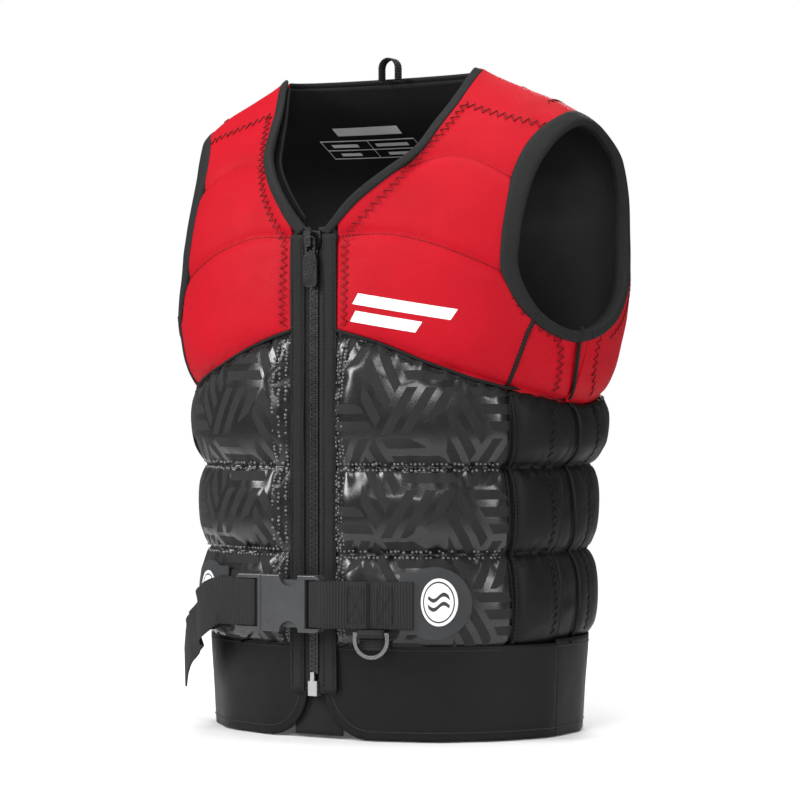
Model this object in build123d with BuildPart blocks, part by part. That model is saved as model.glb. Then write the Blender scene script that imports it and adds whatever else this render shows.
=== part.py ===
"""Neoprene buoyancy vest with a front zip and one buckled belt, modelled as it stands on its hem.

Frame: millimetres, +Z up, the wearer faces -Y, and the wearer's left is +X.
The origin is on the floor, under the middle of the vest's bounding box.
"""
import os
from math import cos, pi, sin, sqrt

from build123d import *

# ---- driving dimensions -------------------------------------------------------------------
AXIS_Y = 14.0            # the torso's axis, behind the origin because the belt stands proud in front
FRONT_POWER = 2.15       # superellipse powers: the front is rounder than the back
BACK_POWER = 2.4
POINTS_AROUND = 24       # points on each section's smooth curve
STEPS_AROUND = [step / POINTS_AROUND for step in range(POINTS_AROUND + 1)]

SHELL = 3.0              # neoprene cover
FOAM_FACE = 3.3          # foam starts just under the cover
FOAM_BACK = 20.0
LINING_FACE = 20.3
LINING_BACK = 23.0
HEM_FACE = 11.0          # the hem skirt lies in the valley line, behind the pads
HEM_BACK = 15.0

HEM_TOP = 76.0           # heights of the seams across the front
VALLEY_LOW = 150.0
VALLEY_HIGH = 220.0
SEAM_CENTRE = 330.0      # cover seam between chest and belly, at the zip
SEAM_SIDE = 272.0        # the same seam at the side
SEAM_BACK = 296.0        # and in the middle of the back
ARMPIT = 346.0
NECK_LOW = 412.0         # top of the zip
NAPE = 545.0
TOP = 620.0              # above everything, for cutters

PANEL_EDGE = 22.0        # the covers stop this far from the zip's middle
FOAM_EDGE = 28.0
PRINCESS_X = 157.0       # seam between the front and the side panels
SPLIT_Y = -22.0 + AXIS_Y  # side seam and shoulder seam, where front and back bodies meet
BODY_GAP = 0.2           # each body stops this far from the split

BINDING = 5.0            # width of the tape round the neck and armholes
BINDING_PROUD = 0.8
FOAM_MARGIN = 14.0       # foam stops this far inside an opening

ZIP_Y = -117.0           # plane of the zip tapes
ZIP_BOTTOM = 36.0
ZIP_TOP = 410.0
TAPE_EDGE = 4.0          # the tapes start this far from the middle, where the teeth end
TOOTH_PITCH = 4.0
TOOTH_HIGH = 1.7
TOOTH_REACH = 1.6        # each row of teeth reaches this far past the middle
FACING_EDGE = 9.0
SLIDER_Z = 396.0         # foot of the slider when the zip is closed
PULL_Z = SLIDER_Z + 8
PULL_Y = ZIP_Y - 6.6

BELT_Z = 110.0           # middle of the belt
BELT_WIDE = 38.0
BELT_HALF_WIDTH = 177.0  # the torso's half width and front depth at belt height
BELT_FRONT = 145.0
STRAP_THICK = 1.8
STRAP_OUT = 3.8          # the strap's middle lies this far outside the cover
BUCKLE_Y = -138.5
BUCKLE_HALF = 23.0       # half the buckle's height
SOCKET_START, SOCKET_END = -34.7, 21.0
PLUG_START, PLUG_END = -60.0, -35.0
PRONG_ROOT = -24.0       # the prongs bend here, where the plug's block ends inside the socket
CAVITY_END = 6.0
WINDOW_X = -8.0
SLOT_HALF = 19.6         # half the height of the webbing slots
BAR_HALF = 2.2

# height, half width, front depth, back depth, centre forward or back, and how far
# one unit of inset draws a section in and lowers it, which turns over on the shoulder
LEVELS = (
    (0.0, 173.0, 141.0, 127.0, 0.0, 1.0, 0.0),
    (38.0, 175.0, 142.5, 128.5, 0.0, 1.0, 0.0),
    (76.0, 177.0, 144.0, 130.0, 0.0, 1.0, 0.0),
    (113.0, 177.0, 145.0, 130.5, 0.0, 1.0, 0.0),
    (150.0, 177.0, 146.0, 131.0, 0.0, 1.0, 0.0),
    (185.0, 178.0, 146.5, 131.5, 0.0, 1.0, 0.0),
    (220.0, 180.0, 147.0, 132.0, 0.0, 1.0, 0.0),
    (255.0, 183.0, 147.0, 132.0, 0.0, 1.0, 0.0),
    (290.0, 187.0, 145.5, 131.5, 0.0, 1.0, 0.0),
    (317.0, 194.0, 141.5, 130.0, 0.0, 1.0, 0.0),
    (344.0, 201.0, 137.0, 128.5, 0.0, 1.0, 0.0),
    (369.0, 203.5, 135.0, 128.5, 0.0, 1.0, 0.0),
    (394.0, 203.0, 132.0, 128.5, 0.0, 1.0, 0.0),
    (414.0, 202.0, 126.5, 128.0, 0.5, 1.0, 0.0),
    (434.0, 201.5, 118.0, 127.0, 1.0, 0.92, 0.25),
    (469.0, 199.5, 92.0, 118.0, -2.0, 0.75, 0.42),
    (497.0, 188.0, 64.0, 92.0, -8.0, 0.5, 0.45),
    (515.0, 165.5, 43.0, 62.0, -14.0, 0.36, 0.42),
    (530.0, 132.0, 29.0, 40.0, -19.0, 0.28, 0.42),
    (541.0, 105.0, 20.0, 26.0, -23.0, 0.22, 0.42),
    (551.0, 84.0, 13.0, 14.0, -27.0, 0.18, 0.42),
)


# ---- the torso form -----------------------------------------------------------------------
def section(level, inset):
    """Height and outline points of one horizontal section, drawn in by inset."""
    height, wide, front, back, forward, draw_in, lower = level
    wide, front, back = (size - inset * draw_in for size in (wide, front, back))
    points = []
    for step in range(POINTS_AROUND):
        angle = 2 * pi * step / POINTS_AROUND
        across, along = sin(angle), cos(angle)
        power = FRONT_POWER if along > 0 else BACK_POWER
        depth = front if along > 0 else back
        x = wide * abs(across) ** (2 / power) * (1 if across > 0 else -1)
        y = depth * abs(along) ** (2 / power) * (1 if along > 0 else -1)
        points.append(Vector(x, AXIS_Y + forward - y))
    return height - inset * lower, points


def torso(inset):
    """Solid torso inside the vest's outer face, drawn in by inset."""
    with BuildPart() as form:
        for level in LEVELS:
            height, points = section(level, inset)
            with BuildSketch(Plane.XY.offset(height)):
                with BuildLine():
                    add(Edge.make_spline(points, periodic=True, parameters=STEPS_AROUND))
                make_face()
        loft()
    return form.part


def wall(outer, inner):
    """The layer of the vest's wall between two insets."""
    with BuildPart() as layer:
        add(torso(outer))
        add(torso(inner), mode=Mode.SUBTRACT)
    return layer.part


COVER = wall(0, SHELL)
CORE = torso(SHELL)
FOAM = wall(FOAM_FACE, FOAM_BACK)
SIDE_WALL = wall(0, FOAM_BACK)
LINING = wall(LINING_FACE, LINING_BACK)
HEM = wall(HEM_FACE, HEM_BACK)
EDGE = wall(-BINDING_PROUD, LINING_BACK)


# ---- cutters ------------------------------------------------------------------------------
def shifted(points, distance, closed=False):
    """Points moved sideways off the line they make, to its right for a positive distance."""
    moved = []
    for index, (u, v) in enumerate(points):
        before = points[index - 1] if closed or index else points[index]
        after = points[(index + 1) % len(points)] if closed or index + 1 < len(points) else points[index]
        along_u, along_v = after[0] - before[0], after[1] - before[1]
        length = sqrt(along_u ** 2 + along_v ** 2)
        moved.append((u + distance * along_v / length, v - distance * along_u / length))
    return moved


def armhole(margin):
    """Prism through both armholes, grown by margin. The opening leans forward at its foot."""
    rim = [(-86, 380), (-73, 345), (-45, 329), (-14, 332), (14, 348), (33, 376), (43, 410),
           (45, 446), (36, 478), (10, 499), (-24, 499), (-53, 473), (-76, 427)]
    with BuildPart() as prism:
        with BuildSketch(Plane.YZ.offset(90)):
            with BuildLine():
                Spline(*[(y + AXIS_Y, z) for y, z in shifted(rim, margin, closed=True)], periodic=True)
            make_face()
        extrude(amount=150)
        mirror(about=Plane.YZ)
    return prism.part


def neck(margin):
    """Prism through the neck opening, grown by margin: a V in front and level at the nape."""
    rim = [(10, NECK_LOW), (30, 433), (52, 455), (69, 475), (77, 498), (92, NAPE)]
    rim = shifted(rim, margin)
    low, high = rim[0], rim[-1]
    with BuildPart() as prism:
        with BuildSketch(Plane.XZ.offset(-SPLIT_Y)):
            with BuildLine():
                Spline(*rim)
                Polyline(high, (high[0], TOP), (0, TOP), (0, low[1]), low)
            make_face()
            mirror(about=Plane.YZ)
        extrude(amount=200)
        with BuildSketch(Plane.XY.offset(NAPE - margin)):
            with Locations((0, SPLIT_Y + 50)):
                Rectangle(2 * (92 + margin), 100)
        extrude(amount=TOP - NAPE)
    return prism.part


def front_prism(points, curve=None):
    """Prism forward of the side seam over a region drawn in X and Z, on the wearer's left."""
    with BuildPart() as prism:
        with BuildSketch(Plane.XZ.offset(BODY_GAP - SPLIT_Y)):
            with BuildLine():
                if curve:
                    Spline(*curve)
                    Polyline(curve[-1], *points, curve[0])
                else:
                    Polyline(*points, close=True)
            make_face()
        extrude(amount=220)
    return prism.part


def back_prism(points):
    """Prism behind the side seam over a region drawn in X and Z."""
    with BuildPart() as prism:
        with BuildSketch(Plane.XZ.offset(-BODY_GAP - SPLIT_Y)):
            with BuildLine():
                Polyline(*points, close=True)
            make_face()
        extrude(amount=-220)
    return prism.part


NECK_CUT, NECK_TAPED, NECK_FOAM = neck(0), neck(BINDING), neck(FOAM_MARGIN)
ARM_CUT, ARM_TAPED, ARM_FOAM = armhole(0), armhole(BINDING), armhole(FOAM_MARGIN)


with BuildPart() as behind:
    add(CORE)
    with BuildSketch(Plane.XY):
        with Locations((PANEL_EDGE + 2.5 + 120, 0)):
            Rectangle(240, 600)
    extrude(amount=TOP, mode=Mode.INTERSECT)
BEHIND_COVER = behind.part


def write(part, name):
    """Labels a finished piece and writes its file."""
    part.label = name
    export_step(part, f"parts/{name}.step")


def write_pair(part, name):
    """Writes a piece on the wearer's left and its mirror image on the right."""
    write(part, f"{name}_left")
    write(mirror(part, about=Plane.YZ), f"{name}_right")


def cover_seam(drop=0.0):
    """The seam between chest and belly in front, in X and Z, lowered by drop."""
    seam = ((PANEL_EDGE, SEAM_CENTRE), (62, 319), (101, 304), (134, 291), (PRINCESS_X, 283))
    return [(x, z - drop) for x, z in seam]


os.makedirs("parts", exist_ok=True)

# ---- front covers, foam and lining --------------------------------------------------------
# Each cover turns in at the zip and closes the edge of the foam.
with BuildPart() as chest_cover:
    add(SIDE_WALL)
    region = [(161, 305), (172, ARMPIT), (240, ARMPIT), (240, TOP), (PANEL_EDGE, TOP)]
    add(front_prism(region, cover_seam()), mode=Mode.INTERSECT)
    add(BEHIND_COVER, mode=Mode.SUBTRACT)
    add(NECK_TAPED, mode=Mode.SUBTRACT)
    add(ARM_TAPED, mode=Mode.SUBTRACT)
write_pair(chest_cover.part, "chest_cover")

with BuildPart() as belly_cover:
    add(SIDE_WALL)
    region = [(PRINCESS_X, HEM_TOP), (PANEL_EDGE, HEM_TOP)]
    add(front_prism(region, cover_seam()), mode=Mode.INTERSECT)
    add(BEHIND_COVER, mode=Mode.SUBTRACT)
write_pair(belly_cover.part, "belly_cover")

with BuildPart() as underarm_panel:
    add(SIDE_WALL)
    region = [(PRINCESS_X, 283), (161, 305), (172, ARMPIT), (240, ARMPIT), (240, SEAM_SIDE), (178, SEAM_SIDE)]
    add(front_prism(region), mode=Mode.INTERSECT)
    add(ARM_TAPED, mode=Mode.SUBTRACT)
write_pair(underarm_panel.part, "underarm_panel")

with BuildPart() as side_panel:
    add(SIDE_WALL)
    region = [(PRINCESS_X, HEM_TOP), (240, HEM_TOP), (240, SEAM_SIDE), (178, SEAM_SIDE), (PRINCESS_X, 283)]
    add(front_prism(region), mode=Mode.INTERSECT)
write_pair(side_panel.part, "side_panel")

with BuildPart() as front_lining:
    add(LINING)
    region = [(FOAM_EDGE, HEM_TOP), (240, HEM_TOP), (240, TOP), (FOAM_EDGE, TOP)]
    add(front_prism(region), mode=Mode.INTERSECT)
    add(NECK_TAPED, mode=Mode.SUBTRACT)
    add(ARM_TAPED, mode=Mode.SUBTRACT)
write_pair(front_lining.part, "front_lining")

with BuildPart() as chest_foam:
    add(FOAM)
    top = [(168, 330), (176, ARMPIT), (240, ARMPIT), (240, 490), (FOAM_EDGE, 490), (FOAM_EDGE, SEAM_CENTRE + 6)]
    add(front_prism(top + [(x + 4, z + 8) for x, z in cover_seam()[1:-1]] + [(154, 293)]), mode=Mode.INTERSECT)
    add(NECK_FOAM, mode=Mode.SUBTRACT)
    add(ARM_FOAM, mode=Mode.SUBTRACT)
write_pair(chest_foam.part, "chest_foam")

low_bars = (("low", HEM_TOP + 4, VALLEY_LOW - 3), ("middle", VALLEY_LOW + 3, VALLEY_HIGH - 3))
for bar, foot, head in low_bars:
    with BuildPart() as belly_foam:
        add(FOAM)
        region = [(FOAM_EDGE, foot), (PRINCESS_X - 5, foot), (PRINCESS_X - 5, head), (FOAM_EDGE, head)]
        add(front_prism(region), mode=Mode.INTERSECT)
    write_pair(belly_foam.part, f"belly_foam_{bar}")

with BuildPart() as belly_foam_high:
    add(FOAM)
    crown = [(FOAM_EDGE, SEAM_CENTRE - 6)] + cover_seam(drop=5)[1:-1] + [(PRINCESS_X - 5, 279)]
    region = crown + [(PRINCESS_X - 5, VALLEY_HIGH + 3), (FOAM_EDGE, VALLEY_HIGH + 3)]
    add(front_prism(region), mode=Mode.INTERSECT)
write_pair(belly_foam_high.part, "belly_foam_high")

# The hem's front corners are cut away in a round below the end of the zip, and the zip tape takes the
# hem's place above it.
with BuildPart() as hem_band:
    add(HEM)
    with BuildSketch(Plane.XZ.offset(BODY_GAP - SPLIT_Y)):
        with BuildLine():
            corner = RadiusArc((9.6, 35), (51, 0), -42)
            Polyline(corner @ 1, (240, 0), (240, HEM_TOP - 0.3), (22.3, HEM_TOP - 0.3), (22.3, 35), corner @ 0)
        make_face()
    extrude(amount=220, mode=Mode.INTERSECT)
write_pair(hem_band.part, "hem_band")

with BuildPart() as armhole_binding:
    add(EDGE)
    add(ARM_TAPED, mode=Mode.INTERSECT)
    add(ARM_CUT, mode=Mode.SUBTRACT)
    add(front_prism([(90, 300), (240, 300), (240, TOP), (90, TOP)]), mode=Mode.INTERSECT)
write_pair(armhole_binding.part, "armhole_binding_front")

with BuildPart() as neck_binding:
    add(EDGE)
    add(NECK_TAPED, mode=Mode.INTERSECT)
    add(NECK_CUT, mode=Mode.SUBTRACT)
    add(front_prism([(10, NECK_LOW - 8), (240, NECK_LOW - 8), (240, TOP), (10, TOP)]), mode=Mode.INTERSECT)
write_pair(neck_binding.part, "neck_binding_front")

# ---- back ---------------------------------------------------------------------------------
BACK_SEAM = [(-240, SEAM_SIDE), (-178, SEAM_SIDE), (-90, 290), (0, SEAM_BACK), (90, 290), (178, SEAM_SIDE),
             (240, SEAM_SIDE)]

with BuildPart() as back_cover_upper:
    add(COVER)
    add(back_prism(BACK_SEAM + [(240, TOP), (-240, TOP)]), mode=Mode.INTERSECT)
    add(NECK_TAPED, mode=Mode.SUBTRACT)
    add(ARM_TAPED, mode=Mode.SUBTRACT)
write(back_cover_upper.part, "back_cover_upper")

with BuildPart() as back_cover_lower:
    add(COVER)
    add(back_prism(BACK_SEAM + [(240, HEM_TOP), (-240, HEM_TOP)]), mode=Mode.INTERSECT)
write(back_cover_lower.part, "back_cover_lower")

with BuildPart() as back_lining:
    add(LINING)
    add(back_prism([(-240, HEM_TOP), (240, HEM_TOP), (240, TOP), (-240, TOP)]), mode=Mode.INTERSECT)
    add(NECK_TAPED, mode=Mode.SUBTRACT)
    add(ARM_TAPED, mode=Mode.SUBTRACT)
write(back_lining.part, "back_lining")

with BuildPart() as back_hem_band:
    add(HEM)
    add(back_prism([(-240, 0), (240, 0), (240, HEM_TOP - 0.3), (-240, HEM_TOP - 0.3)]), mode=Mode.INTERSECT)
write(back_hem_band.part, "back_hem_band")

BACK_FOAM_HALF = 172.0
back_bars = (
    ("low", HEM_TOP + 4, VALLEY_LOW - 3),
    ("middle", VALLEY_LOW + 3, VALLEY_HIGH - 3),
    ("upper", VALLEY_HIGH + 3, 505),
)
for bar, foot, head in back_bars:
    with BuildPart() as back_foam:
        add(FOAM)
        half = BACK_FOAM_HALF
        add(back_prism([(-half, foot), (half, foot), (half, head), (-half, head)]), mode=Mode.INTERSECT)
        with BuildSketch(Plane.XZ.offset(-SPLIT_Y - 25)):
            with Locations((0, 300)):
                Rectangle(500, 620)
        extrude(amount=-200, mode=Mode.INTERSECT)
        add(ARM_FOAM, mode=Mode.SUBTRACT)
        add(NECK_FOAM, mode=Mode.SUBTRACT)
    write(back_foam.part, f"back_foam_{bar}")

with BuildPart() as armhole_binding_back:
    add(EDGE)
    add(ARM_TAPED, mode=Mode.INTERSECT)
    add(ARM_CUT, mode=Mode.SUBTRACT)
    add(back_prism([(90, 300), (240, 300), (240, TOP), (90, TOP)]), mode=Mode.INTERSECT)
write_pair(armhole_binding_back.part, "armhole_binding_back")

with BuildPart() as neck_binding_back:
    add(EDGE)
    add(NECK_TAPED, mode=Mode.INTERSECT)
    add(NECK_CUT, mode=Mode.SUBTRACT)
    add(back_prism([(-240, 500), (240, 500), (240, TOP), (-240, TOP)]), mode=Mode.INTERSECT)
write(neck_binding_back.part, "neck_binding_back")

# Webbing loop at the nape, standing on the neck binding.
with BuildPart() as hang_loop:
    with BuildSketch(Plane.XZ.offset(4)) as loop_face:
        with Locations((0, NAPE)):
            SlotOverall(36, 18, rotation=90)
            SlotOverall(32, 14, rotation=90, mode=Mode.SUBTRACT)
        with Locations((0, NAPE - 20)):
            Rectangle(40, 40, mode=Mode.SUBTRACT)
    extrude(amount=-10)
write(hang_loop.part, "hang_loop")

# ---- zip ----------------------------------------------------------------------------------
def block(x, y, z):
    """Box between two limits on each axis."""
    with BuildPart() as body:
        with BuildSketch(Plane.XY.offset(z[0])):
            with Locations(((x[0] + x[1]) / 2, (y[0] + y[1]) / 2)):
                Rectangle(x[1] - x[0], y[1] - y[0])
        extrude(amount=z[1] - z[0])
    return body.part


write_pair(block((TAPE_EDGE, 20), (ZIP_Y - 0.5, ZIP_Y + 0.5), (ZIP_BOTTOM, ZIP_TOP + 2)), "zip_tape")
write_pair(block((FACING_EDGE, 21.6), (ZIP_Y - 3, ZIP_Y - 0.8), (ZIP_BOTTOM + 6, ZIP_TOP - 6)), "zip_facing")
write(block((-21, 21), (ZIP_Y + 6.4, ZIP_Y + 7.9), (6, ZIP_TOP - 12)), "zip_guard")

teeth = int((ZIP_TOP - ZIP_BOTTOM - 20) / TOOTH_PITCH)
for side, name in ((1, "left"), (-1, "right")):
    first = ZIP_BOTTOM + 18 + (TOOTH_PITCH / 2 if side < 0 else 0)
    with BuildPart() as zip_teeth:
        with BuildSketch(Plane.XZ.offset(-ZIP_Y)):
            with Locations((side * (TAPE_EDGE + 2.2) / 2, first + (teeth - 1) * TOOTH_PITCH / 2)):
                Rectangle(TAPE_EDGE - 2.2, teeth * TOOTH_PITCH)
            with Locations((side * (TAPE_EDGE - TOOTH_REACH) / 2, first + (teeth - 1) * TOOTH_PITCH / 2)):
                with GridLocations(0, TOOTH_PITCH, 1, teeth):
                    Rectangle(TAPE_EDGE + TOOTH_REACH, TOOTH_HIGH)
        extrude(amount=1.5, both=True)
    write(zip_teeth.part, f"zip_teeth_{name}")

# The retaining box is open toward the wearer's right, where the pin leaves it.
with BuildPart() as zip_box:
    add(block((-4.5, 3.8), (ZIP_Y - 3, ZIP_Y + 3), (ZIP_BOTTOM - 2, ZIP_BOTTOM + 10)))
    add(block((-5, 0.4), (ZIP_Y - 1.5, ZIP_Y + 1.5), (ZIP_BOTTOM - 0.5, ZIP_BOTTOM + 11)), mode=Mode.SUBTRACT)
write(zip_box.part, "zip_box")
write(block((-3.6, 0), (ZIP_Y - 1.2, ZIP_Y + 1.2), (ZIP_BOTTOM, ZIP_BOTTOM + 17)), "zip_pin")

# Slider: front plate with its arch, and back plate. The pull's bar lies inside the arch.
with BuildPart() as slider_front:
    with BuildSketch(Plane.XZ.offset(2 - ZIP_Y)):
        with BuildLine():
            Polyline((-5, 0), (5, 0), (8, 6), (8, 15), (-8, 15), (-8, 6), close=True)
        make_face()
    extrude(amount=2)
    faces_up = Plane.YZ.offset(-2)
    with BuildSketch(faces_up):
        with Locations((ZIP_Y - 4 - 2.8, 8)):
            Rectangle(5.6, 12)
            Rectangle(3.2, 7.2, mode=Mode.SUBTRACT)
        with Locations((ZIP_Y - 4 - 0.6, 8)):
            Rectangle(1.2, 7.2, mode=Mode.SUBTRACT)
    extrude(amount=4)
write(Pos(0, 0, SLIDER_Z) * slider_front.part, "slider_front")

with BuildPart() as slider_back:
    with BuildSketch(Plane.XZ.offset(-ZIP_Y - 1.9)):
        with BuildLine():
            Polyline((-5, 0), (5, 0), (8, 6), (8, 15), (-8, 15), (-8, 6), close=True)
        make_face()
    extrude(amount=-1.4)
write(Pos(0, 0, SLIDER_Z) * slider_back.part, "slider_back")

with BuildPart() as zip_pull:
    with BuildSketch(Plane.XZ.offset(1 - PULL_Y)):
        with BuildLine():
            Polyline((-5, 1.1), (5, 1.1), (5, -12), (6.5, -17), (6.5, -36), (4, -39), (-4, -39),
                     (-6.5, -36), (-6.5, -17), (-5, -12), close=True)
        make_face()
        with Locations((0, -5.6)):
            Rectangle(5.6, 9, mode=Mode.SUBTRACT)
    extrude(amount=-2)
write(Pos(0, 0, PULL_Z) * zip_pull.part, "zip_pull")


# ---- belt ---------------------------------------------------------------------------------
def cover_line(start, end, out, steps):
    """Points along the cover at belt height, in X and Y, a distance out from it."""
    points = []
    for step in range(steps + 1):
        x = start + (end - start) * step / steps
        wide, deep = BELT_HALF_WIDTH + out, BELT_FRONT + out
        points.append((x, AXIS_Y - deep * (1 - (abs(x) / wide) ** FRONT_POWER) ** (1 / FRONT_POWER)))
    return points


def ribbon(path, thick, foot, head):
    """Band of one thickness standing on edge along a path in X and Y."""
    with BuildPart() as band:
        with BuildSketch(Plane.XY.offset(foot)):
            with BuildLine():
                edge = shifted(path, thick / 2)
                Polyline(*edge, *reversed(shifted(path, -thick / 2)), close=True)
            make_face()
        extrude(amount=head - foot)
    return band.part


def turn(x, radius, way):
    """Half turn of webbing round a buckle bar, from behind it to in front of it."""
    return [(x + way * radius * sin(pi * step / 8), BUCKLE_Y + radius * cos(pi * step / 8)) for step in range(9)]


BELT_FOOT, BELT_HEAD = BELT_Z - BELT_WIDE / 2, BELT_Z + BELT_WIDE / 2

with BuildPart() as belt_patch:
    add(ribbon(cover_line(82, 132, 1.8, 10), 1.6, BELT_Z - 30, BELT_Z + 34))
    with BuildSketch(Plane.XZ.offset(BODY_GAP - SPLIT_Y)):
        with Locations((107, BELT_Z + 2)):
            Ellipse(25, 29)
        with Locations((94, BELT_Z + 2)):
            Rectangle(24, 50)
    extrude(amount=220, mode=Mode.INTERSECT)
write_pair(belt_patch.part, "belt_patch")

with BuildPart() as badge:
    add(ribbon(cover_line(96, 126, 3.4, 8), 1.0, BELT_Z - 20, BELT_Z + 30))
    with BuildSketch(Plane.XZ.offset(BODY_GAP - SPLIT_Y)):
        with Locations((111, BELT_Z + 3)):
            Ellipse(12.5, 19)
    extrude(amount=220, mode=Mode.INTERSECT)
write_pair(badge.part, "badge")

# The left strap is sewn to its patch, passes behind the socket's bar and doubles back over itself.
path = cover_line(93, 30, STRAP_OUT, 8) + [(18, BUCKLE_Y + 3.5)]
path += turn(13, 3.5, -1) + [(25, BUCKLE_Y - 3.2)] + cover_line(40, 58, STRAP_OUT + 2.2, 3)
write(ribbon(path, STRAP_THICK, BELT_FOOT, BELT_HEAD), "strap_left")

# The right strap wraps the ladder lock's bars and its loose end hangs back round the side.
with BuildPart() as strap_right:
    path = cover_line(-93, -66, STRAP_OUT, 5) + [(-59, BUCKLE_Y + 4.6), (-50, BUCKLE_Y + 3.9)]
    path += turn(-44.5, 3.9, 1) + [(-60, BUCKLE_Y - 3.9), (-78, BUCKLE_Y - 3.7)]
    path += [(-90, BUCKLE_Y - 1.5), (-103, BUCKLE_Y + 6)] + cover_line(-120, -166, 9, 6)
    add(ribbon(path, STRAP_THICK, 20, BELT_HEAD))
    with BuildSketch(Plane.XZ.offset(BODY_GAP - SPLIT_Y)):
        with BuildLine():
            Polyline((-38, BELT_HEAD), (-78, BELT_HEAD), (-90, BELT_HEAD - 3), (-168, BELT_HEAD - 62),
                     (-168, BELT_FOOT - 68), (-94, BELT_FOOT - 8), (-78, BELT_FOOT), (-38, BELT_FOOT), close=True)
        make_face()
    extrude(amount=220, mode=Mode.INTERSECT)
write(strap_right.part, "strap_right")


def buckle_box(x, z, deep):
    """Block of the buckle, deep to each side of its middle plane."""
    return block(x, (BUCKLE_Y - deep, BUCKLE_Y + deep), (BELT_Z + z[0], BELT_Z + z[1]))


with BuildPart() as buckle_socket:
    add(buckle_box((SOCKET_START, SOCKET_END), (-BUCKLE_HALF, BUCKLE_HALF), 5.5))
    fillet(buckle_socket.edges().filter_by(Axis.Y).sort_by(Axis.X)[-2:], 5)
    fillet(buckle_socket.faces().sort_by(Axis.Y)[0].edges(), 1)
    add(buckle_box((SOCKET_START - 1, CAVITY_END), (-19.5, 19.5), 3.2), mode=Mode.SUBTRACT)
    add(buckle_box((CAVITY_END + 1.5, 15), (-SLOT_HALF, SLOT_HALF), 8), mode=Mode.SUBTRACT)
    for way in (-1, 1):
        lift = way * (BAR_HALF + 4)
        bar_y = (BUCKLE_Y + lift - 4, BUCKLE_Y + lift + 4)
        add(block((14, 22), bar_y, (BELT_Z - SLOT_HALF, BELT_Z + SLOT_HALF)), mode=Mode.SUBTRACT)
        with BuildSketch(Plane.XZ.offset(20 - BUCKLE_Y)):
            with Locations((WINDOW_X, BELT_Z + way * BUCKLE_HALF)):
                Circle(9)
        extrude(amount=-40, mode=Mode.SUBTRACT)
write(buckle_socket.part, "buckle_socket")

with BuildPart() as buckle_plug:
    add(buckle_box((PLUG_START, PLUG_END), (-BUCKLE_HALF, BUCKLE_HALF), 4.5))
    fillet(buckle_plug.edges().filter_by(Axis.Y).sort_by(Axis.X)[:2], 4)
    fillet(buckle_plug.faces().sort_by(Axis.Y)[0].edges(), 1)
    for slot in ((-56, -50), (-46, -38.5)):
        add(buckle_box(slot, (-SLOT_HALF, SLOT_HALF), 8), mode=Mode.SUBTRACT)
    for way in (-1, 1):
        lift = way * (BAR_HALF + 4)
        bar_y = (BUCKLE_Y + lift - 4, BUCKLE_Y + lift + 4)
        add(block((-61, -45), bar_y, (BELT_Z - SLOT_HALF, BELT_Z + SLOT_HALF)), mode=Mode.SUBTRACT)
    add(buckle_box((PLUG_END - 1, PRONG_ROOT), (-19, 19), 2.8))
    add(buckle_box((PRONG_ROOT - 1, 4), (-5, 5), 2.5))
write(buckle_plug.part, "buckle_plug")

for way, name in ((1, "upper"), (-1, "lower")):
    outline = [(PRONG_ROOT + 0.5, 10), (PRONG_ROOT + 0.5, 14), (-18, 15), (-16, 19.2), (-1, 19.2), (3.5, 14),
               (3.5, 10.5), (-2, 12)]
    with BuildPart() as prong:
        with BuildSketch(Plane.XZ.offset(2.5 - BUCKLE_Y)):
            with BuildLine():
                Polyline(*[(x, BELT_Z + way * z) for x, z in outline], close=True)
            make_face()
        extrude(amount=-5)
    write(prong.part, f"prong_{name}")

# ---- D-ring on the belt's lower edge ------------------------------------------------------
RING_X, RING_Z = 60.0, 87.0
RING_OUT = 4.4
near, far = cover_line(RING_X - 11, RING_X + 11, 0, 1)
run = sqrt((far[0] - near[0]) ** 2 + (far[1] - near[1]) ** 2)
tangent = ((far[0] - near[0]) / run, (far[1] - near[1]) / run, 0)
outward = (tangent[1], -tangent[0], 0)
seat = cover_line(RING_X, RING_X + 1, 0.3, 1)[0]
RING_PLANE = Plane(origin=(seat[0], seat[1], RING_Z), x_dir=tangent, z_dir=outward)

with BuildPart() as ring_loop:
    with BuildSketch(Plane(RING_PLANE.origin, x_dir=outward, z_dir=tangent)):
        with Locations((RING_OUT, 0)):
            Circle(3.8)
        with Locations((0.6 + 0.75, -7)):
            Rectangle(1.5, 14)
        with Locations((RING_OUT, 0)):
            Circle(2.3, mode=Mode.SUBTRACT)
    extrude(amount=11, both=True)
write(ring_loop.part, "ring_loop")

with BuildPart() as d_ring:
    with BuildSketch(RING_PLANE.offset(RING_OUT)):
        for radius, top, mode in ((15, 1.5, Mode.ADD), (12, -1.5, Mode.SUBTRACT)):
            with BuildLine():
                Polyline((-radius, -5), (-radius, top), (radius, top), (radius, -5))
                ThreePointArc((radius, -5), (0, -5 - radius), (-radius, -5))
            make_face(mode=mode)
    extrude(amount=1.5, both=True)
write(d_ring.part, "d_ring")
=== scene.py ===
"""Looks of the neoprene buoyancy vest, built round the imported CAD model.

Lengths in this script are millimetres in the CAD frame, and meshes are made in metres.
The wearer faces -Y and the wearer's left is +X. A place on the vest's outer face is given
as (turn, height): turn is the angle from the front, in radians, towards the wearer's left.
"""
import math

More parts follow.
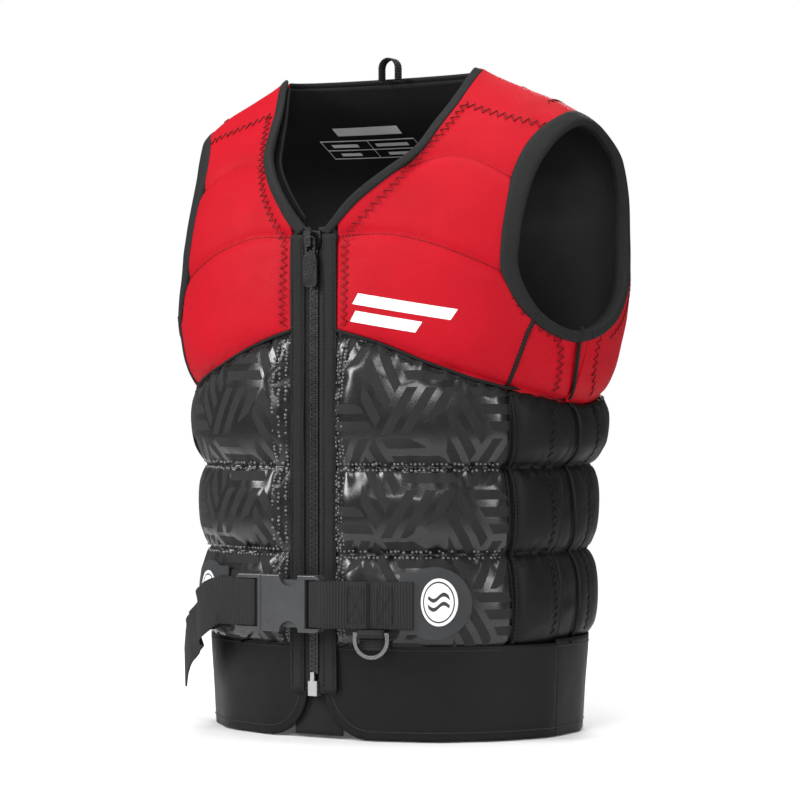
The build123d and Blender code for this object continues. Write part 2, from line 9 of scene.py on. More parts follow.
import bpy
import bmesh
import numpy as np
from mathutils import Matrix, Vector


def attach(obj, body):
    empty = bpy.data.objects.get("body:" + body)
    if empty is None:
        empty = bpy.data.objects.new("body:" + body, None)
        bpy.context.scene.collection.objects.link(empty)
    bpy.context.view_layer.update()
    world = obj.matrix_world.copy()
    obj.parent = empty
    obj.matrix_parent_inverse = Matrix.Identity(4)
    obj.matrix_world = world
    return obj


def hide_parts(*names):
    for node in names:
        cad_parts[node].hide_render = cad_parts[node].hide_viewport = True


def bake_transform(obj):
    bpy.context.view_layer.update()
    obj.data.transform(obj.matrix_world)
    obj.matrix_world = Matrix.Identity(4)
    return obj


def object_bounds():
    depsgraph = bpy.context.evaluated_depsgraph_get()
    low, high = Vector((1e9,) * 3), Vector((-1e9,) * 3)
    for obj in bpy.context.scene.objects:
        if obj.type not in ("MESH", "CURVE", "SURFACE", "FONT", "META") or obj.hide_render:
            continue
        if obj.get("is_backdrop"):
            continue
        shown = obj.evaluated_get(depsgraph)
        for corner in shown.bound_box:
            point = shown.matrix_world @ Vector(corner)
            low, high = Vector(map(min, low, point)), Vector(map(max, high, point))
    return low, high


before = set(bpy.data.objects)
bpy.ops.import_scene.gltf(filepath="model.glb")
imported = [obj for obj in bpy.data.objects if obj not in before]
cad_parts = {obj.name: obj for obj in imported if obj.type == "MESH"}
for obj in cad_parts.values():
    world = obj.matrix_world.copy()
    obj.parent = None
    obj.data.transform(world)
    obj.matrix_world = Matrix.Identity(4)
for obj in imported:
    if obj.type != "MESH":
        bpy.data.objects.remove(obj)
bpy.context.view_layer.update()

# ---- form: the CAD's section levels and openings -------------------------------------------
MM = 0.001
AXIS_Y = 14.0
FRONT_POWER, BACK_POWER = 2.15, 2.4
# height, half width, front depth, back depth, centre, draw-in and drop per unit of inset
LEVELS = np.array((
    (0, 173, 141, 127, 0, 1, 0), (38, 175, 142.5, 128.5, 0, 1, 0), (76, 177, 144, 130, 0, 1, 0),
    (113, 177, 145, 130.5, 0, 1, 0), (150, 177, 146, 131, 0, 1, 0), (185, 178, 146.5, 131.5, 0, 1, 0),
    (220, 180, 147, 132, 0, 1, 0), (255, 183, 147, 132, 0, 1, 0), (290, 187, 145.5, 131.5, 0, 1, 0),
    (317, 194, 141.5, 130, 0, 1, 0), (344, 201, 137, 128.5, 0, 1, 0), (369, 203.5, 135, 128.5, 0, 1, 0),
    (394, 203, 132, 128.5, 0, 1, 0), (414, 202, 126.5, 128, 0.5, 1, 0),
    (434, 201.5, 118, 127, 1, 0.92, 0.25), (469, 199.5, 92, 118, -2, 0.75, 0.42),
    (497, 188, 64, 92, -8, 0.5, 0.45), (515, 165.5, 43, 62, -14, 0.36, 0.42),
    (530, 132, 29, 40, -19, 0.28, 0.42), (541, 105, 20, 26, -23, 0.22, 0.42),
    (551, 84, 13, 14, -27, 0.18, 0.42)), float)
SPLIT_Y = -8.0
NECK_RIM = ((10, 412), (30, 433), (52, 455), (69, 475), (77, 498), (92, 545))
ARM_RIM = ((-72, 380), (-59, 345), (-31, 329), (0, 332), (28, 348), (47, 376), (57, 410),
           (59, 446), (50, 478), (24, 499), (-10, 499), (-39, 473), (-62, 427))
HEM_TOP, VALLEY_LOW, VALLEY_HIGH, NAPE = 76.0, 150.0, 220.0, 545.0
VALLEY_DEPTH = 12.0
HEM_INSET = 11.0
PANEL_EDGE, PRINCESS_X = 22.0, 157.0
ZIP_Y = -117.0
BELT_Z = 110.0
SHELL = 2.8
HEM_THICK, LINING_THICK = 3.6, 2.0
LINING_INSET = 21.0
OPENING_INSET = 8.0      # the wall is this thick at the neck and armholes
BACK = math.pi

rng = np.random.default_rng(7)


def slopes(xs, ys):
    """Slopes of a monotone cubic through points."""
    step = np.diff(xs)
    rise = np.diff(ys) / step
    out = np.zeros(len(xs))
    out[0], out[-1] = rise[0], rise[-1]
    for i in range(1, len(xs) - 1):
        if rise[i - 1] * rise[i] > 0:
            w1, w2 = 2 * step[i] + step[i - 1], step[i] + 2 * step[i - 1]
            out[i] = (w1 + w2) / (w1 / rise[i - 1] + w2 / rise[i])
    return out


SLOPES = [slopes(LEVELS[:, 0], LEVELS[:, k]) for k in range(1, 7)]


def level(z):
    """The six section values at height z, each an array like z."""
    z = np.clip(np.asarray(z, float), LEVELS[0, 0], LEVELS[-1, 0])
    i = np.clip(np.searchsorted(LEVELS[:, 0], z) - 1, 0, len(LEVELS) - 2)
    width = LEVELS[i + 1, 0] - LEVELS[i, 0]
    t = (z - LEVELS[i, 0]) / width
    values = []
    for k in range(1, 7):
        y0, y1 = LEVELS[i, k], LEVELS[i + 1, k]
        m0, m1 = SLOPES[k - 1][i] * width, SLOPES[k - 1][i + 1] * width
        values.append((2 * t ** 3 - 3 * t ** 2 + 1) * y0 + (t ** 3 - 2 * t ** 2 + t) * m0
                      + (-2 * t ** 3 + 3 * t ** 2) * y1 + (t ** 3 - t ** 2) * m1)
    return values


def place(turn, z, inset=0.0):
    """Points in millimetres on the vest, drawn in from the CAD's outer face by inset."""
    turn, z = np.asarray(turn, float), np.asarray(z, float)
    wide, front, back, centre, draw, drop = level(z)
    s, c = np.sin(turn), np.cos(turn)
    power = np.where(c > 0, FRONT_POWER, BACK_POWER)
    deep = np.where(c > 0, front, back) - inset * draw
    x = (wide - inset * draw) * np.sign(s) * np.abs(s) ** (2 / power)
    y = AXIS_Y + centre - deep * np.sign(c) * np.abs(c) ** (2 / power)
    return np.stack([x, y, z - inset * drop], axis=-1)


def turn_at_x(x, z, behind=False):
    """Turn of the point of the outer face at x and z, in front or behind."""
    wide = level(z)[0]
    power = BACK_POWER if behind else FRONT_POWER
    angle = np.arcsin(np.clip(np.abs(x) / wide, 0, 1) ** (power / 2)) * np.sign(x)
    return BACK - angle if behind else angle


def turn_at_y(y, z):
    """Turn of the point of the outer face at y and z, on the wearer's left."""
    _, front, back, centre, _, _ = level(z)
    off = AXIS_Y + centre - np.asarray(y, float)
    ahead = np.arccos(np.clip(np.maximum(off, 0) / front, 0, 1) ** (FRONT_POWER / 2))
    behind = BACK - np.arccos(np.clip(np.maximum(-off, 0) / back, 0, 1) ** (BACK_POWER / 2))
    return np.where(off >= 0, ahead, behind)


def smooth(points, count, closed=False):
    """Catmull-Rom curve through points, evenly sampled by length."""
    p = np.asarray(points, float)
    p = np.vstack([p[-1], p, p[0], p[1]]) if closed else np.vstack([2 * p[0] - p[1], p, 2 * p[-1] - p[-2]])
    t = np.linspace(0, 1, 24, endpoint=False)[:, None]
    runs = []
    for i in range(1, len(p) - 2):
        a, b, c, d = p[i - 1], p[i], p[i + 1], p[i + 2]
        runs.append(0.5 * (2 * b + (c - a) * t + (2 * a - 5 * b + 4 * c - d) * t ** 2
                           + (3 * b - a - 3 * c + d) * t ** 3))
    runs.append(p[-2:-1])
    return even(np.vstack(runs), count)


def run_along(points):
    """Distance along a polyline at each of its points."""
    return np.concatenate([[0], np.cumsum(np.linalg.norm(np.diff(points, axis=0), axis=1))])


def unit(vectors):
    """A row of directions, each scaled to length one."""
    return vectors / np.linalg.norm(vectors, axis=1)[:, None]


def even(points, count):
    """A polyline's points respaced evenly."""
    length = run_along(points)
    want = np.linspace(0, length[-1], count)
    return np.stack([np.interp(want, length, points[:, k]) for k in range(points.shape[1])], axis=-1)


def grown(points, distance):
    """A curve's points moved to the right of its direction by distance."""
    along = unit(np.gradient(points, axis=0))
    return points + distance * np.stack([along[:, 1], -along[:, 0]], axis=-1)


def domain_x(points, behind=False):
    """(turn, height) curve from one in X and Z."""
    points = np.asarray(points, float)
    return np.stack([turn_at_x(points[:, 0], points[:, 1], behind), points[:, 1]], axis=-1)


def domain_y(points):
    """(turn, height) curve from one in Y and Z."""
    points = np.asarray(points, float)
    return np.stack([turn_at_y(points[:, 0], points[:, 1]), points[:, 1]], axis=-1)


# ---- seams and rims on the wearer's left ----------------------------------------------------
ARM = smooth(ARM_RIM, 260, closed=True)
NECK = smooth(NECK_RIM, 120)


def arm_part(margin, front=True, start=None):
    """Front or back part of the armhole rim grown by margin, from its foot to the shoulder."""
    rim = grown(ARM, margin)
    rim = rim[:-1]
    foot = np.argmin(np.abs(rim[:, 0] - SPLIT_Y) + 1000 * (rim[:, 1] > 400))
    rim = np.roll(rim, -foot, axis=0)
    head = np.argmin(np.abs(rim[:, 0] - SPLIT_Y) + 1000 * (rim[:, 1] < 400))
    behind = rim[: head + 1]
    ahead = np.vstack([rim[head:], rim[:1]])[::-1]
    part = ahead if front else behind
    part = part.copy()
    part[[0, -1], 0] = SPLIT_Y
    if start is not None:
        part = part[start(part):]
    return part


def neck_part(margin, from_x=10.0):
    """Neck rim grown by margin, from the zip to the shoulder."""
    rim = grown(NECK, margin)
    return rim[rim[:, 0] >= from_x]


def seam_height(turn):
    """Height of the cover seam between chest and belly at a turn."""
    turn = np.abs(turn)
    table = np.array(((0, 330), (0.33, 318), (0.58, 303), (0.87, 290), (1.05, 283), (1.4, 274), (1.62, 272),
                      (2.4, 285), (BACK, 296)))
    return np.interp(turn, table[:, 0], table[:, 1])


SEAM_FRONT = domain_x([(PANEL_EDGE, 330), (62, 319), (101, 304), (134, 291), (PRINCESS_X, 283)])
ARM_FOOT = domain_y(arm_part(0))
PRINCESS_TOP = int(np.argmin(np.abs(arm_part(0)[:, 0] + 59) + 1000 * (arm_part(0)[:, 1] > 360)))
PRINCESS = np.vstack([domain_x([(PRINCESS_X, 283), (161, 305), (168, 328)]),
                      ARM_FOOT[PRINCESS_TOP:PRINCESS_TOP + 1]])


def split_line(low, high):
    """The side split from one height to another."""
    z = np.linspace(low, high, 12)
    return np.stack([turn_at_y(np.full(12, SPLIT_Y), z), z], axis=-1)


def shoulder_line():
    """The shoulder split from the armhole to the neck."""
    head = arm_part(0)[-1]
    z = np.linspace(head[1], NAPE, 16)
    return np.stack([turn_at_y(np.full(16, SPLIT_Y), z), z], axis=-1)


QUILT = [domain_x(smooth(points, 60)) for points in (
    [(67, 461), (81, 467), (92, 471), (104, 472), (124, 467), (149, 454), (163, 446)],
    [(25, 407), (59, 408), (80, 405), (108, 397), (138, 384), (157, 374)])]


def grooves(points, curves, depth, width):
    """Depth drawn in along curves, felt over width."""
    total = np.zeros(points.shape[:-1])
    flat = points.reshape(-1, 3)
    for curve in curves:
        line = place(curve[:, 0], curve[:, 1])
        near = np.full(len(flat), 1e9)
        for start in range(0, len(flat), 4000):
            gap = flat[start:start + 4000, None, :] - line[None, :, :]
            near[start:start + 4000] = np.sqrt((gap ** 2).sum(axis=-1)).min(axis=1)
        total = np.maximum(total, (depth * np.exp(-(near / width) ** 1.3)).reshape(total.shape))
    return total


def lobes(turn, z):
    """Draw-in between the three belly pads: the full depth along the sewn channels, none on the crests."""
    top = seam_height(turn)
    out = np.full(np.shape(z), 0.0)
    for foot, head in ((HEM_TOP, VALLEY_LOW), (VALLEY_LOW, VALLEY_HIGH), (VALLEY_HIGH, top)):
        v = np.clip((z - foot) / (head - foot), 0, 1)
        inside = (z >= foot) & (z <= head)
        crown = np.maximum(1 - np.abs(2 * v - 1) ** 2.4, 0) ** 0.55
        out = np.where(inside, VALLEY_DEPTH * (1 - crown), out)
    over = np.clip((z - top) / 34.0, 0, 1)
    chest = VALLEY_DEPTH * (1 - np.sqrt(np.maximum(1 - (1 - over) ** 2.2, 0)))
    return np.where(z > top, chest, out)


def relief(turn, z):
    """How far the finished surface lies inside the CAD's outer face."""
    points = place(turn, z)
    inset = lobes(turn, z)
    ahead = np.cos(turn) > 0
    # Beside the zip the covers come to the plane of its facing.
    edge_y = place(np.zeros_like(turn), z)[..., 1]
    meet = (ZIP_Y - 2.0) - edge_y
    reach = np.where(meet - inset > 0, 8.0, 34.0)
    fade = np.exp(-(np.maximum(np.abs(points[..., 0]) - PANEL_EDGE, 0) / reach) ** 1.4)
    inset = np.where(ahead, inset + (meet - inset) * fade, inset)
    # The pads lie slimmer and are drawn in further at the sides.
    at_side = np.sin(turn) ** 6 * np.clip((300 - z) / 60, 0, 1)
    crest = 1 - lobes(turn, z) / VALLEY_DEPTH
    slim = 6.0 * np.sin(turn) ** 4 * np.clip((235 - z) / 25, 0, 1) * crest
    return inset + slim + at_side * (3.5 + 0.45 * lobes(turn, z))


# ---- mesh helpers ---------------------------------------------------------------------------
def make_object(name, points, faces, material):
    """New mesh object from points in millimetres."""
    mesh = bpy.data.meshes.new(name)
    mesh.from_pydata((np.asarray(points).reshape(-1, 3) * MM).tolist(), [], faces)
    mesh.polygons.foreach_set("use_smooth", [True] * len(mesh.polygons))
    mesh.materials.append(material)
    obj = bpy.data.objects.new(name, mesh)
    bpy.context.collection.objects.link(obj)
    return obj


def lay_flat(obj, spots):
    """Gives a mesh its flat coordinates, from a pair in millimetres for each vertex."""
    layer = obj.data.uv_layers.new(name="flat")
    corner = np.empty(len(obj.data.loops), int)
    obj.data.loops.foreach_get("vertex_index", corner)
    layer.data.foreach_set("uv", (np.asarray(spots)[corner] * MM).ravel())


def grid_faces(rows, columns, closed=False):
    """Quads of a grid stored row by row."""
    faces = []
    for r in range(rows - 1):
        for c in range(columns if closed else columns - 1):
            d = (c + 1) % columns
            faces.append((r * columns + c, r * columns + d, (r + 1) * columns + d, (r + 1) * columns + c))
    return faces


def end_caps(rows, columns):
    """The two end faces of a closed tube of rings."""
    return [tuple(reversed(range(columns))), tuple((rows - 1) * columns + k for k in range(columns))]


def coons(bottom, right, top, left, across, up):
    """Grid of (turn, height) inside four curves. Bottom and top run left to right, the others upward."""
    scale = np.array([150.0, 1.0])
    bottom, top = (even(curve * scale, across) / scale for curve in (bottom, top))
    left, right = (even(curve * scale, up) / scale for curve in (left, right))
    s = np.linspace(0, 1, across)[None, :, None]
    t = np.linspace(0, 1, up)[:, None, None]
    ruled = (1 - t) * bottom[None] + t * top[None] + (1 - s) * left[:, None] + s * right[:, None]
    corners = ((1 - s) * (1 - t) * bottom[0] + s * (1 - t) * bottom[-1]
               + (1 - s) * t * top[0] + s * t * top[-1])
    return ruled - corners


def face_out(obj):
    """Turns the faces of a closed mesh outward."""
    mesh = bmesh.new()
    mesh.from_mesh(obj.data)
    bmesh.ops.recalc_face_normals(mesh, faces=mesh.faces)
    mesh.to_mesh(obj.data)
    mesh.free()


def apply_modifiers(obj):
    """Turns the object's modifiers into its mesh."""
    depsgraph = bpy.context.evaluated_depsgraph_get()
    mesh = bpy.data.meshes.new_from_object(obj.evaluated_get(depsgraph))
    obj.modifiers.clear()
    obj.data = mesh


def panel(name, domains, inset, thick, material, slot, mirror=False, weld=False, inflate=0.0):
    """Fabric panel from one or more grids of (turn, height), with thickness going inward."""
    points, faces, uvs = [], [], []
    for grid in domains:
        turn, z = grid[..., 0], grid[..., 1]
        depth = inset(turn, z) if callable(inset) else inset
        surface = place(turn, z, depth)
        arc = run_along(surface[len(surface) // 2])
        flat = np.stack([np.broadcast_to(arc, turn.shape), z], axis=-1)
        for side in ((1, -1) if weld else ((-1,) if mirror else (1,))):
            base = len(points)
            copy = surface * np.array([side, 1, 1])
            points.extend(copy.reshape(-1, 3))
            uvs.extend((flat * np.array([side, 1])).reshape(-1, 2))
            quads = grid_faces(*turn.shape)
            quads = quads if side > 0 else [tuple(reversed(q)) for q in quads]
            faces.extend([tuple(base + k for k in q) for q in quads])
    obj = make_object(name, np.array(points), faces, material)
    lay_flat(obj, uvs)
    mesh = bmesh.new()
    mesh.from_mesh(obj.data)
    bmesh.ops.remove_doubles(mesh, verts=mesh.verts, dist=0.00005)
    mesh.to_mesh(obj.data)
    mesh.free()
    if inflate:
        swell(obj, inflate)
    solid = obj.modifiers.new("thickness", "SOLIDIFY")
    solid.thickness = thick * MM
    solid.offset = -1
    apply_modifiers(obj)
    return obj


def swell(obj, cap):
    """Cloth under slight pressure, pinned along its edges and sewn channels, so that it wrinkles there."""
    mesh = obj.data
    rest = np.empty(len(mesh.vertices) * 3)
    mesh.vertices.foreach_get("co", rest)
    rest = rest.reshape(-1, 3)
    edges = {}
    for polygon in mesh.polygons:
        for key in polygon.edge_keys:
            edges[key] = edges.get(key, 0) + 1
    pins = {v for key, uses in edges.items() if uses == 1 for v in key}
    for line in (VALLEY_LOW, VALLEY_HIGH):
        pins |= set(np.nonzero(np.abs(rest[:, 2] / MM - line) < 1.6)[0].tolist())
    folded = np.abs(rest / MM * np.array([1, 0, 0])) + rest / MM * np.array([0, 1, 1])
    for curve in (SIDE_SEAM, FLANK_LOW, FLANK_LOW_BACK):
        line, _ = on_surface(curve)
        gaps = folded[:, None, :] - line[None, :, :]
        pins |= set(np.nonzero(np.sqrt((gaps ** 2).sum(axis=-1)).min(axis=1) < 3.2)[0].tolist())
    group = obj.vertex_groups.new(name="sewn")
    group.add([int(v) for v in pins], 1.0, "REPLACE")
    cloth = obj.modifiers.new("cloth", "CLOTH")
    settings = cloth.settings
    settings.quality = 4
    settings.mass = 0.3
    settings.tension_stiffness = settings.compression_stiffness = 12
    settings.shear_stiffness = 6
    settings.bending_stiffness = 4
    settings.vertex_group_mass = "sewn"
    settings.use_pressure = True
    settings.uniform_pressure_force = 1.6
    settings.shrink_min = -0.025
    settings.effector_weights.gravity = 0
    cloth.collision_settings.use_collision = False
    scene = bpy.context.scene
    for step in range(1, 16):
        scene.frame_set(step)
    depsgraph = bpy.context.evaluated_depsgraph_get()
    result = obj.evaluated_get(depsgraph).data
    moved = np.empty(len(result.vertices) * 3)
    result.vertices.foreach_get("co", moved)
    shift = moved.reshape(-1, 3) - rest
    # Thick neoprene only shows the broad folds.
    ends = np.array(list(edges))
    count = np.maximum(np.bincount(ends.ravel(), minlength=len(rest)), 1)[:, None]
    for _ in range(14):
        total = np.zeros_like(shift)
        np.add.at(total, ends[:, 0], shift[ends[:, 1]])
        np.add.at(total, ends[:, 1], shift[ends[:, 0]])
        shift = 0.5 * shift + 0.5 * total / count
        shift[list(pins)] = 0
    far = np.linalg.norm(shift, axis=1, keepdims=True)
    shift *= np.minimum(1, cap * MM / np.maximum(far, 1e-9))
    obj.modifiers.remove(cloth)
    obj.vertex_groups.clear()
    mesh.vertices.foreach_set("co", (rest + shift).ravel())
    mesh.update()
    scene.frame_set(1)


def tube(name, lines, radius, material, sides=6):
    """Round threads along polylines in millimetres, all in one object."""
    points, faces = [], []
    for line in lines:
        line = np.asarray(line, float)
        along = np.gradient(line, axis=0)
        along /= np.maximum(np.linalg.norm(along, axis=1)[:, None], 1e-9)
        side = np.cross(along, np.array([0.13, 0.29, 0.95]))
        side /= np.maximum(np.linalg.norm(side, axis=1)[:, None], 1e-9)
        up = np.cross(side, along)
        angle = np.arange(sides) * 2 * math.pi / sides
        ring = (side[:, None] * np.cos(angle)[None, :, None] + up[:, None] * np.sin(angle)[None, :, None])
        base = len(points)
        points.extend((line[:, None] + radius * ring).reshape(-1, 3))
        faces.extend([tuple(base + k for k in q) for q in grid_faces(len(line), sides, closed=True)])
        faces.append(tuple(base + k for k in reversed(range(sides))))
        faces.append(tuple(base + (len(line) - 1) * sides + k for k in range(sides)))
    return make_object(name, np.array(points), faces, material)


def on_surface(curve, lift=0.0):
    """Points in millimetres of a (turn, height) curve on the finished surface, and its outward normals."""
    turn, z = curve[:, 0], curve[:, 1]
    inset = relief(turn, z)
    points = place(turn, z, inset)
    beside = place(turn + 0.004, z, inset) - place(turn - 0.004, z, inset)
    above = place(turn, z + 0.5, inset) - place(turn, z - 0.5, inset)
    normal = unit(np.cross(beside, above))
    return points + lift * normal, normal


def zigzag(curve, pitch=2.6, reach=2.1, lift=0.35):
    """One zigzag thread line along a (turn, height) curve."""
    points, _ = on_surface(curve)
    length = np.linalg.norm(np.diff(points, axis=0), axis=1).sum()
    count = max(int(length / pitch), 4)
    fine = even(np.hstack([points, curve]), count)
    base, normal = on_surface(fine[:, 3:], lift)
    along = unit(np.gradient(base, axis=0))
    side = np.cross(normal, along)
    swing = np.where(np.arange(count) % 2 == 0, reach, -reach)[:, None]
    return base + side * swing


def dashes(curve, pitch=3.4, length=2.3, lift=0.2, aside=0.0):
    """Short stitches along a (turn, height) curve."""
    points, _ = on_surface(curve)
    total = np.linalg.norm(np.diff(points, axis=0), axis=1).sum()
    fine = even(np.hstack([points, curve]), max(int(total / pitch) * 4, 8))
    base, normal = on_surface(fine[:, 3:], lift)
    if aside:
        along = unit(np.gradient(base, axis=0))
        base = base + aside * np.cross(normal, along)
    take = max(int(round(4 * length / pitch)), 2)
    return [base[k:k + take] for k in range(0, len(base) - take, 4)]


# ---- materials ------------------------------------------------------------------------------
class Paint:
    """A procedural material being put together node by node."""

    def __init__(self, name, color, roughness, **constants):
        self.material = bpy.data.materials.new(name)
        self.material.use_nodes = True
        self.nodes = self.material.node_tree.nodes
        self.links = self.material.node_tree.links
        self.shader = self.nodes["Principled BSDF"]
        self.shader.inputs["Base Color"].default_value = (*color, 1)
        self.shader.inputs["Roughness"].default_value = roughness
        for socket, value in constants.items():
            self.shader.inputs[socket.replace("_", " ")].default_value = value
        self.place = self.nodes.new("ShaderNodeTexCoord")
        self.height = None

    def feed(self, socket, source):
        """Links a node output, or sets a plain value."""
        if isinstance(source, (int, float, tuple)):
            socket.default_value = source
        else:
            self.links.new(source, socket)

    def math(self, operation, a, b=0.0, c=0.0):
        """One math node."""
        node = self.nodes.new("ShaderNodeMath")
        node.operation = operation
        for socket, source in zip(node.inputs, (a, b, c)):
            self.feed(socket, source)
        return node.outputs[0]

    def vector(self, operation, a, b=(0.0, 0.0, 0.0)):
        """One vector math node."""
        node = self.nodes.new("ShaderNodeVectorMath")
        node.operation = operation
        self.feed(node.inputs[0], a)
        self.feed(node.inputs[1], b)
        return node.outputs["Value"] if operation in ("LENGTH", "DOT_PRODUCT") else node.outputs["Vector"]

    def noise(self, scale, detail=2.0, space="Object"):
        """Soft noise between 0 and 1."""
        node = self.nodes.new("ShaderNodeTexNoise")
        node.inputs["Scale"].default_value = scale
        node.inputs["Detail"].default_value = detail
        self.links.new(self.place.outputs[space], node.inputs["Vector"])
        return node.outputs["Fac"]

    def cells(self, scale):
        """Small round cells, 0 at their middles."""
        node = self.nodes.new("ShaderNodeTexVoronoi")
        node.inputs["Scale"].default_value = scale
        self.links.new(self.place.outputs["Object"], node.inputs["Vector"])
        return node.outputs["Distance"]

    def ribs(self, pitch, axis="X", space="UV"):
        """Parallel ribs of one pitch in metres."""
        node = self.nodes.new("ShaderNodeTexWave")
        node.bands_direction = axis
        node.inputs["Scale"].default_value = 2 * math.pi / 20 / pitch
        node.inputs["Distortion"].default_value = 0.4
        self.links.new(self.place.outputs[space], node.inputs["Vector"])
        return node.outputs["Fac"]

    def ramp(self, source, low, high):
        """Two colours mixed by a value."""
        node = self.nodes.new("ShaderNodeMix")
        node.data_type = "RGBA"
        node.inputs[6].default_value = (*low, 1)
        node.inputs[7].default_value = (*high, 1)
        self.links.new(source, node.inputs[0])
        return node.outputs[2]

    def bump(self, source, depth, strength=1.0):
        """Adds a bump of a depth in metres over the ones before."""
        node = self.nodes.new("ShaderNodeBump")
        node.inputs["Strength"].default_value = strength
        node.inputs["Distance"].default_value = depth
        self.links.new(source, node.inputs["Height"])
        if self.height is not None:
            self.links.new(self.height, node.inputs["Normal"])
        self.height = node.outputs["Normal"]
        self.links.new(self.height, self.shader.inputs["Normal"])

    def color(self, source):
        """Links the base colour."""
        self.links.new(source, self.shader.inputs["Base Color"])

    def rough(self, source, low, high):
        """Roughness between two values by a source from 0 to 1."""
        node = self.nodes.new("ShaderNodeMapRange")
        node.inputs["To Min"].default_value = low
        node.inputs["To Max"].default_value = high
        self.links.new(source, node.inputs["Value"])
        self.links.new(node.outputs["Result"], self.shader.inputs["Roughness"])


def neoprene(name, low, high, roughness):
    """Knit-faced neoprene: broad tone changes and a fine knit."""
    paint = Paint(name, high, roughness, Specular_IOR_Level=0.15)
    paint.color(paint.ramp(paint.noise(22, 4), low, high))
    paint.rough(paint.noise(60), roughness - 0.06, roughness + 0.08)
    paint.bump(paint.noise(38, 3), 0.0014, 0.4)
    paint.bump(paint.cells(900), 0.0003, 0.6)
    return paint.material


def woven(name, color, pitch, depth, roughness=0.75):
    """Woven tape or webbing: ribs both ways, from the piece's own flat coordinates."""
    paint = Paint(name, color, roughness, Specular_IOR_Level=0.3)
    across = paint.ribs(pitch, "X")
    along = paint.math("MULTIPLY_ADD", paint.ribs(pitch * 0.5, "Y"), 0.4, 0.6)
    weave = paint.math("MULTIPLY", across, along)
    light = tuple(min(1.0, 2.4 * part + 0.003) for part in color)
    paint.color(paint.ramp(weave, color, light))
    paint.bump(weave, depth, 0.9)
    paint.bump(paint.noise(900), 0.0001, 0.4)
    return paint.material


def moulded(name, color, roughness, grain=420, metallic=0.0):
    """Moulded plastic, rubber or painted metal with a fine grain and patchy tone."""
    paint = Paint(name, color, roughness, Metallic=metallic)
    light = tuple(min(1.0, 1.35 * part + 0.01) for part in color)
    paint.color(paint.ramp(paint.noise(45, 3), color, light))
    paint.rough(paint.noise(110, 3), roughness - 0.08, roughness + 0.1)
    paint.bump(paint.cells(grain), 0.00012, 0.4)
    return paint.material


def embossed(name):
    """Coated black neoprene: a glossy field round matte bars that run three ways, as on stacked cubes."""
    paint = Paint(name, (0.012, 0.012, 0.013), 0.3, Specular_IOR_Level=0.6)
    cell, pitch, bar = 0.082, 0.0137, 0.0078
    flat = paint.nodes.new("ShaderNodeUVMap")
    flat.uv_map = "flat"
    size = (cell * math.sqrt(3), cell, 1.0)
    half = tuple(part / 2 for part in size)
    local = []
    for shift in ((0.0, 0.0, 0.0), half):
        start = tuple(10 * part + extra for part, extra in zip(size, shift))
        moved = paint.vector("ADD", flat.outputs["UV"], start)
        wrapped = paint.vector("MODULO", moved, size)
        local.append(paint.vector("MULTIPLY", paint.vector("SUBTRACT", wrapped, half), (1.0, 1.0, 0.0)))
    lengths = [paint.vector("LENGTH", offset) for offset in local]
    pick = paint.nodes.new("ShaderNodeMix")
    pick.data_type = "VECTOR"
    paint.links.new(paint.math("LESS_THAN", lengths[1], lengths[0]), pick.inputs[0])
    paint.links.new(local[0], pick.inputs[4])
    paint.links.new(local[1], pick.inputs[5])
    near = pick.outputs[1]

    def along(turn):
        return paint.vector("DOT_PRODUCT", near, (math.cos(turn), math.sin(turn), 0.0))

    # A cell has three faces, each with bars along one of its edges.
    third = 2 * math.pi / 3
    leads = [along(math.pi / 3 + k * third) for k in range(3)]
    marks = []
    for k in range(3):
        others = paint.math("MAXIMUM", leads[(k + 1) % 3], leads[(k + 2) % 3])
        here = paint.math("GREATER_THAN", paint.math("SUBTRACT", leads[k], others), 0.005)
        phase = paint.math("PINGPONG", along(math.pi / 2 + k * third), pitch / 2)
        stripe = paint.math("GREATER_THAN", phase, (pitch - bar) / 2)
        ends = paint.math("LESS_THAN", leads[k], 0.036)
        marks.append(paint.math("MULTIPLY", paint.math("MULTIPLY", here, stripe), ends))
    mask = paint.math("MAXIMUM", paint.math("MAXIMUM", marks[0], marks[1]), marks[2])
    brushed = paint.math("MULTIPLY_ADD", paint.noise(70, 4), 0.22, paint.math("MULTIPLY", mask, 0.78))
    paint.rough(brushed, 0.18, 0.95)
    paint.color(paint.ramp(mask, (0.006, 0.006, 0.0065), (0.0025, 0.0025, 0.003)))
    paint.bump(paint.noise(45, 3), 0.0008, 0.4)
    paint.bump(mask, 0.0006, 0.7)
    paint.bump(paint.noise(800), 0.00012, 0.5)
    return paint.material


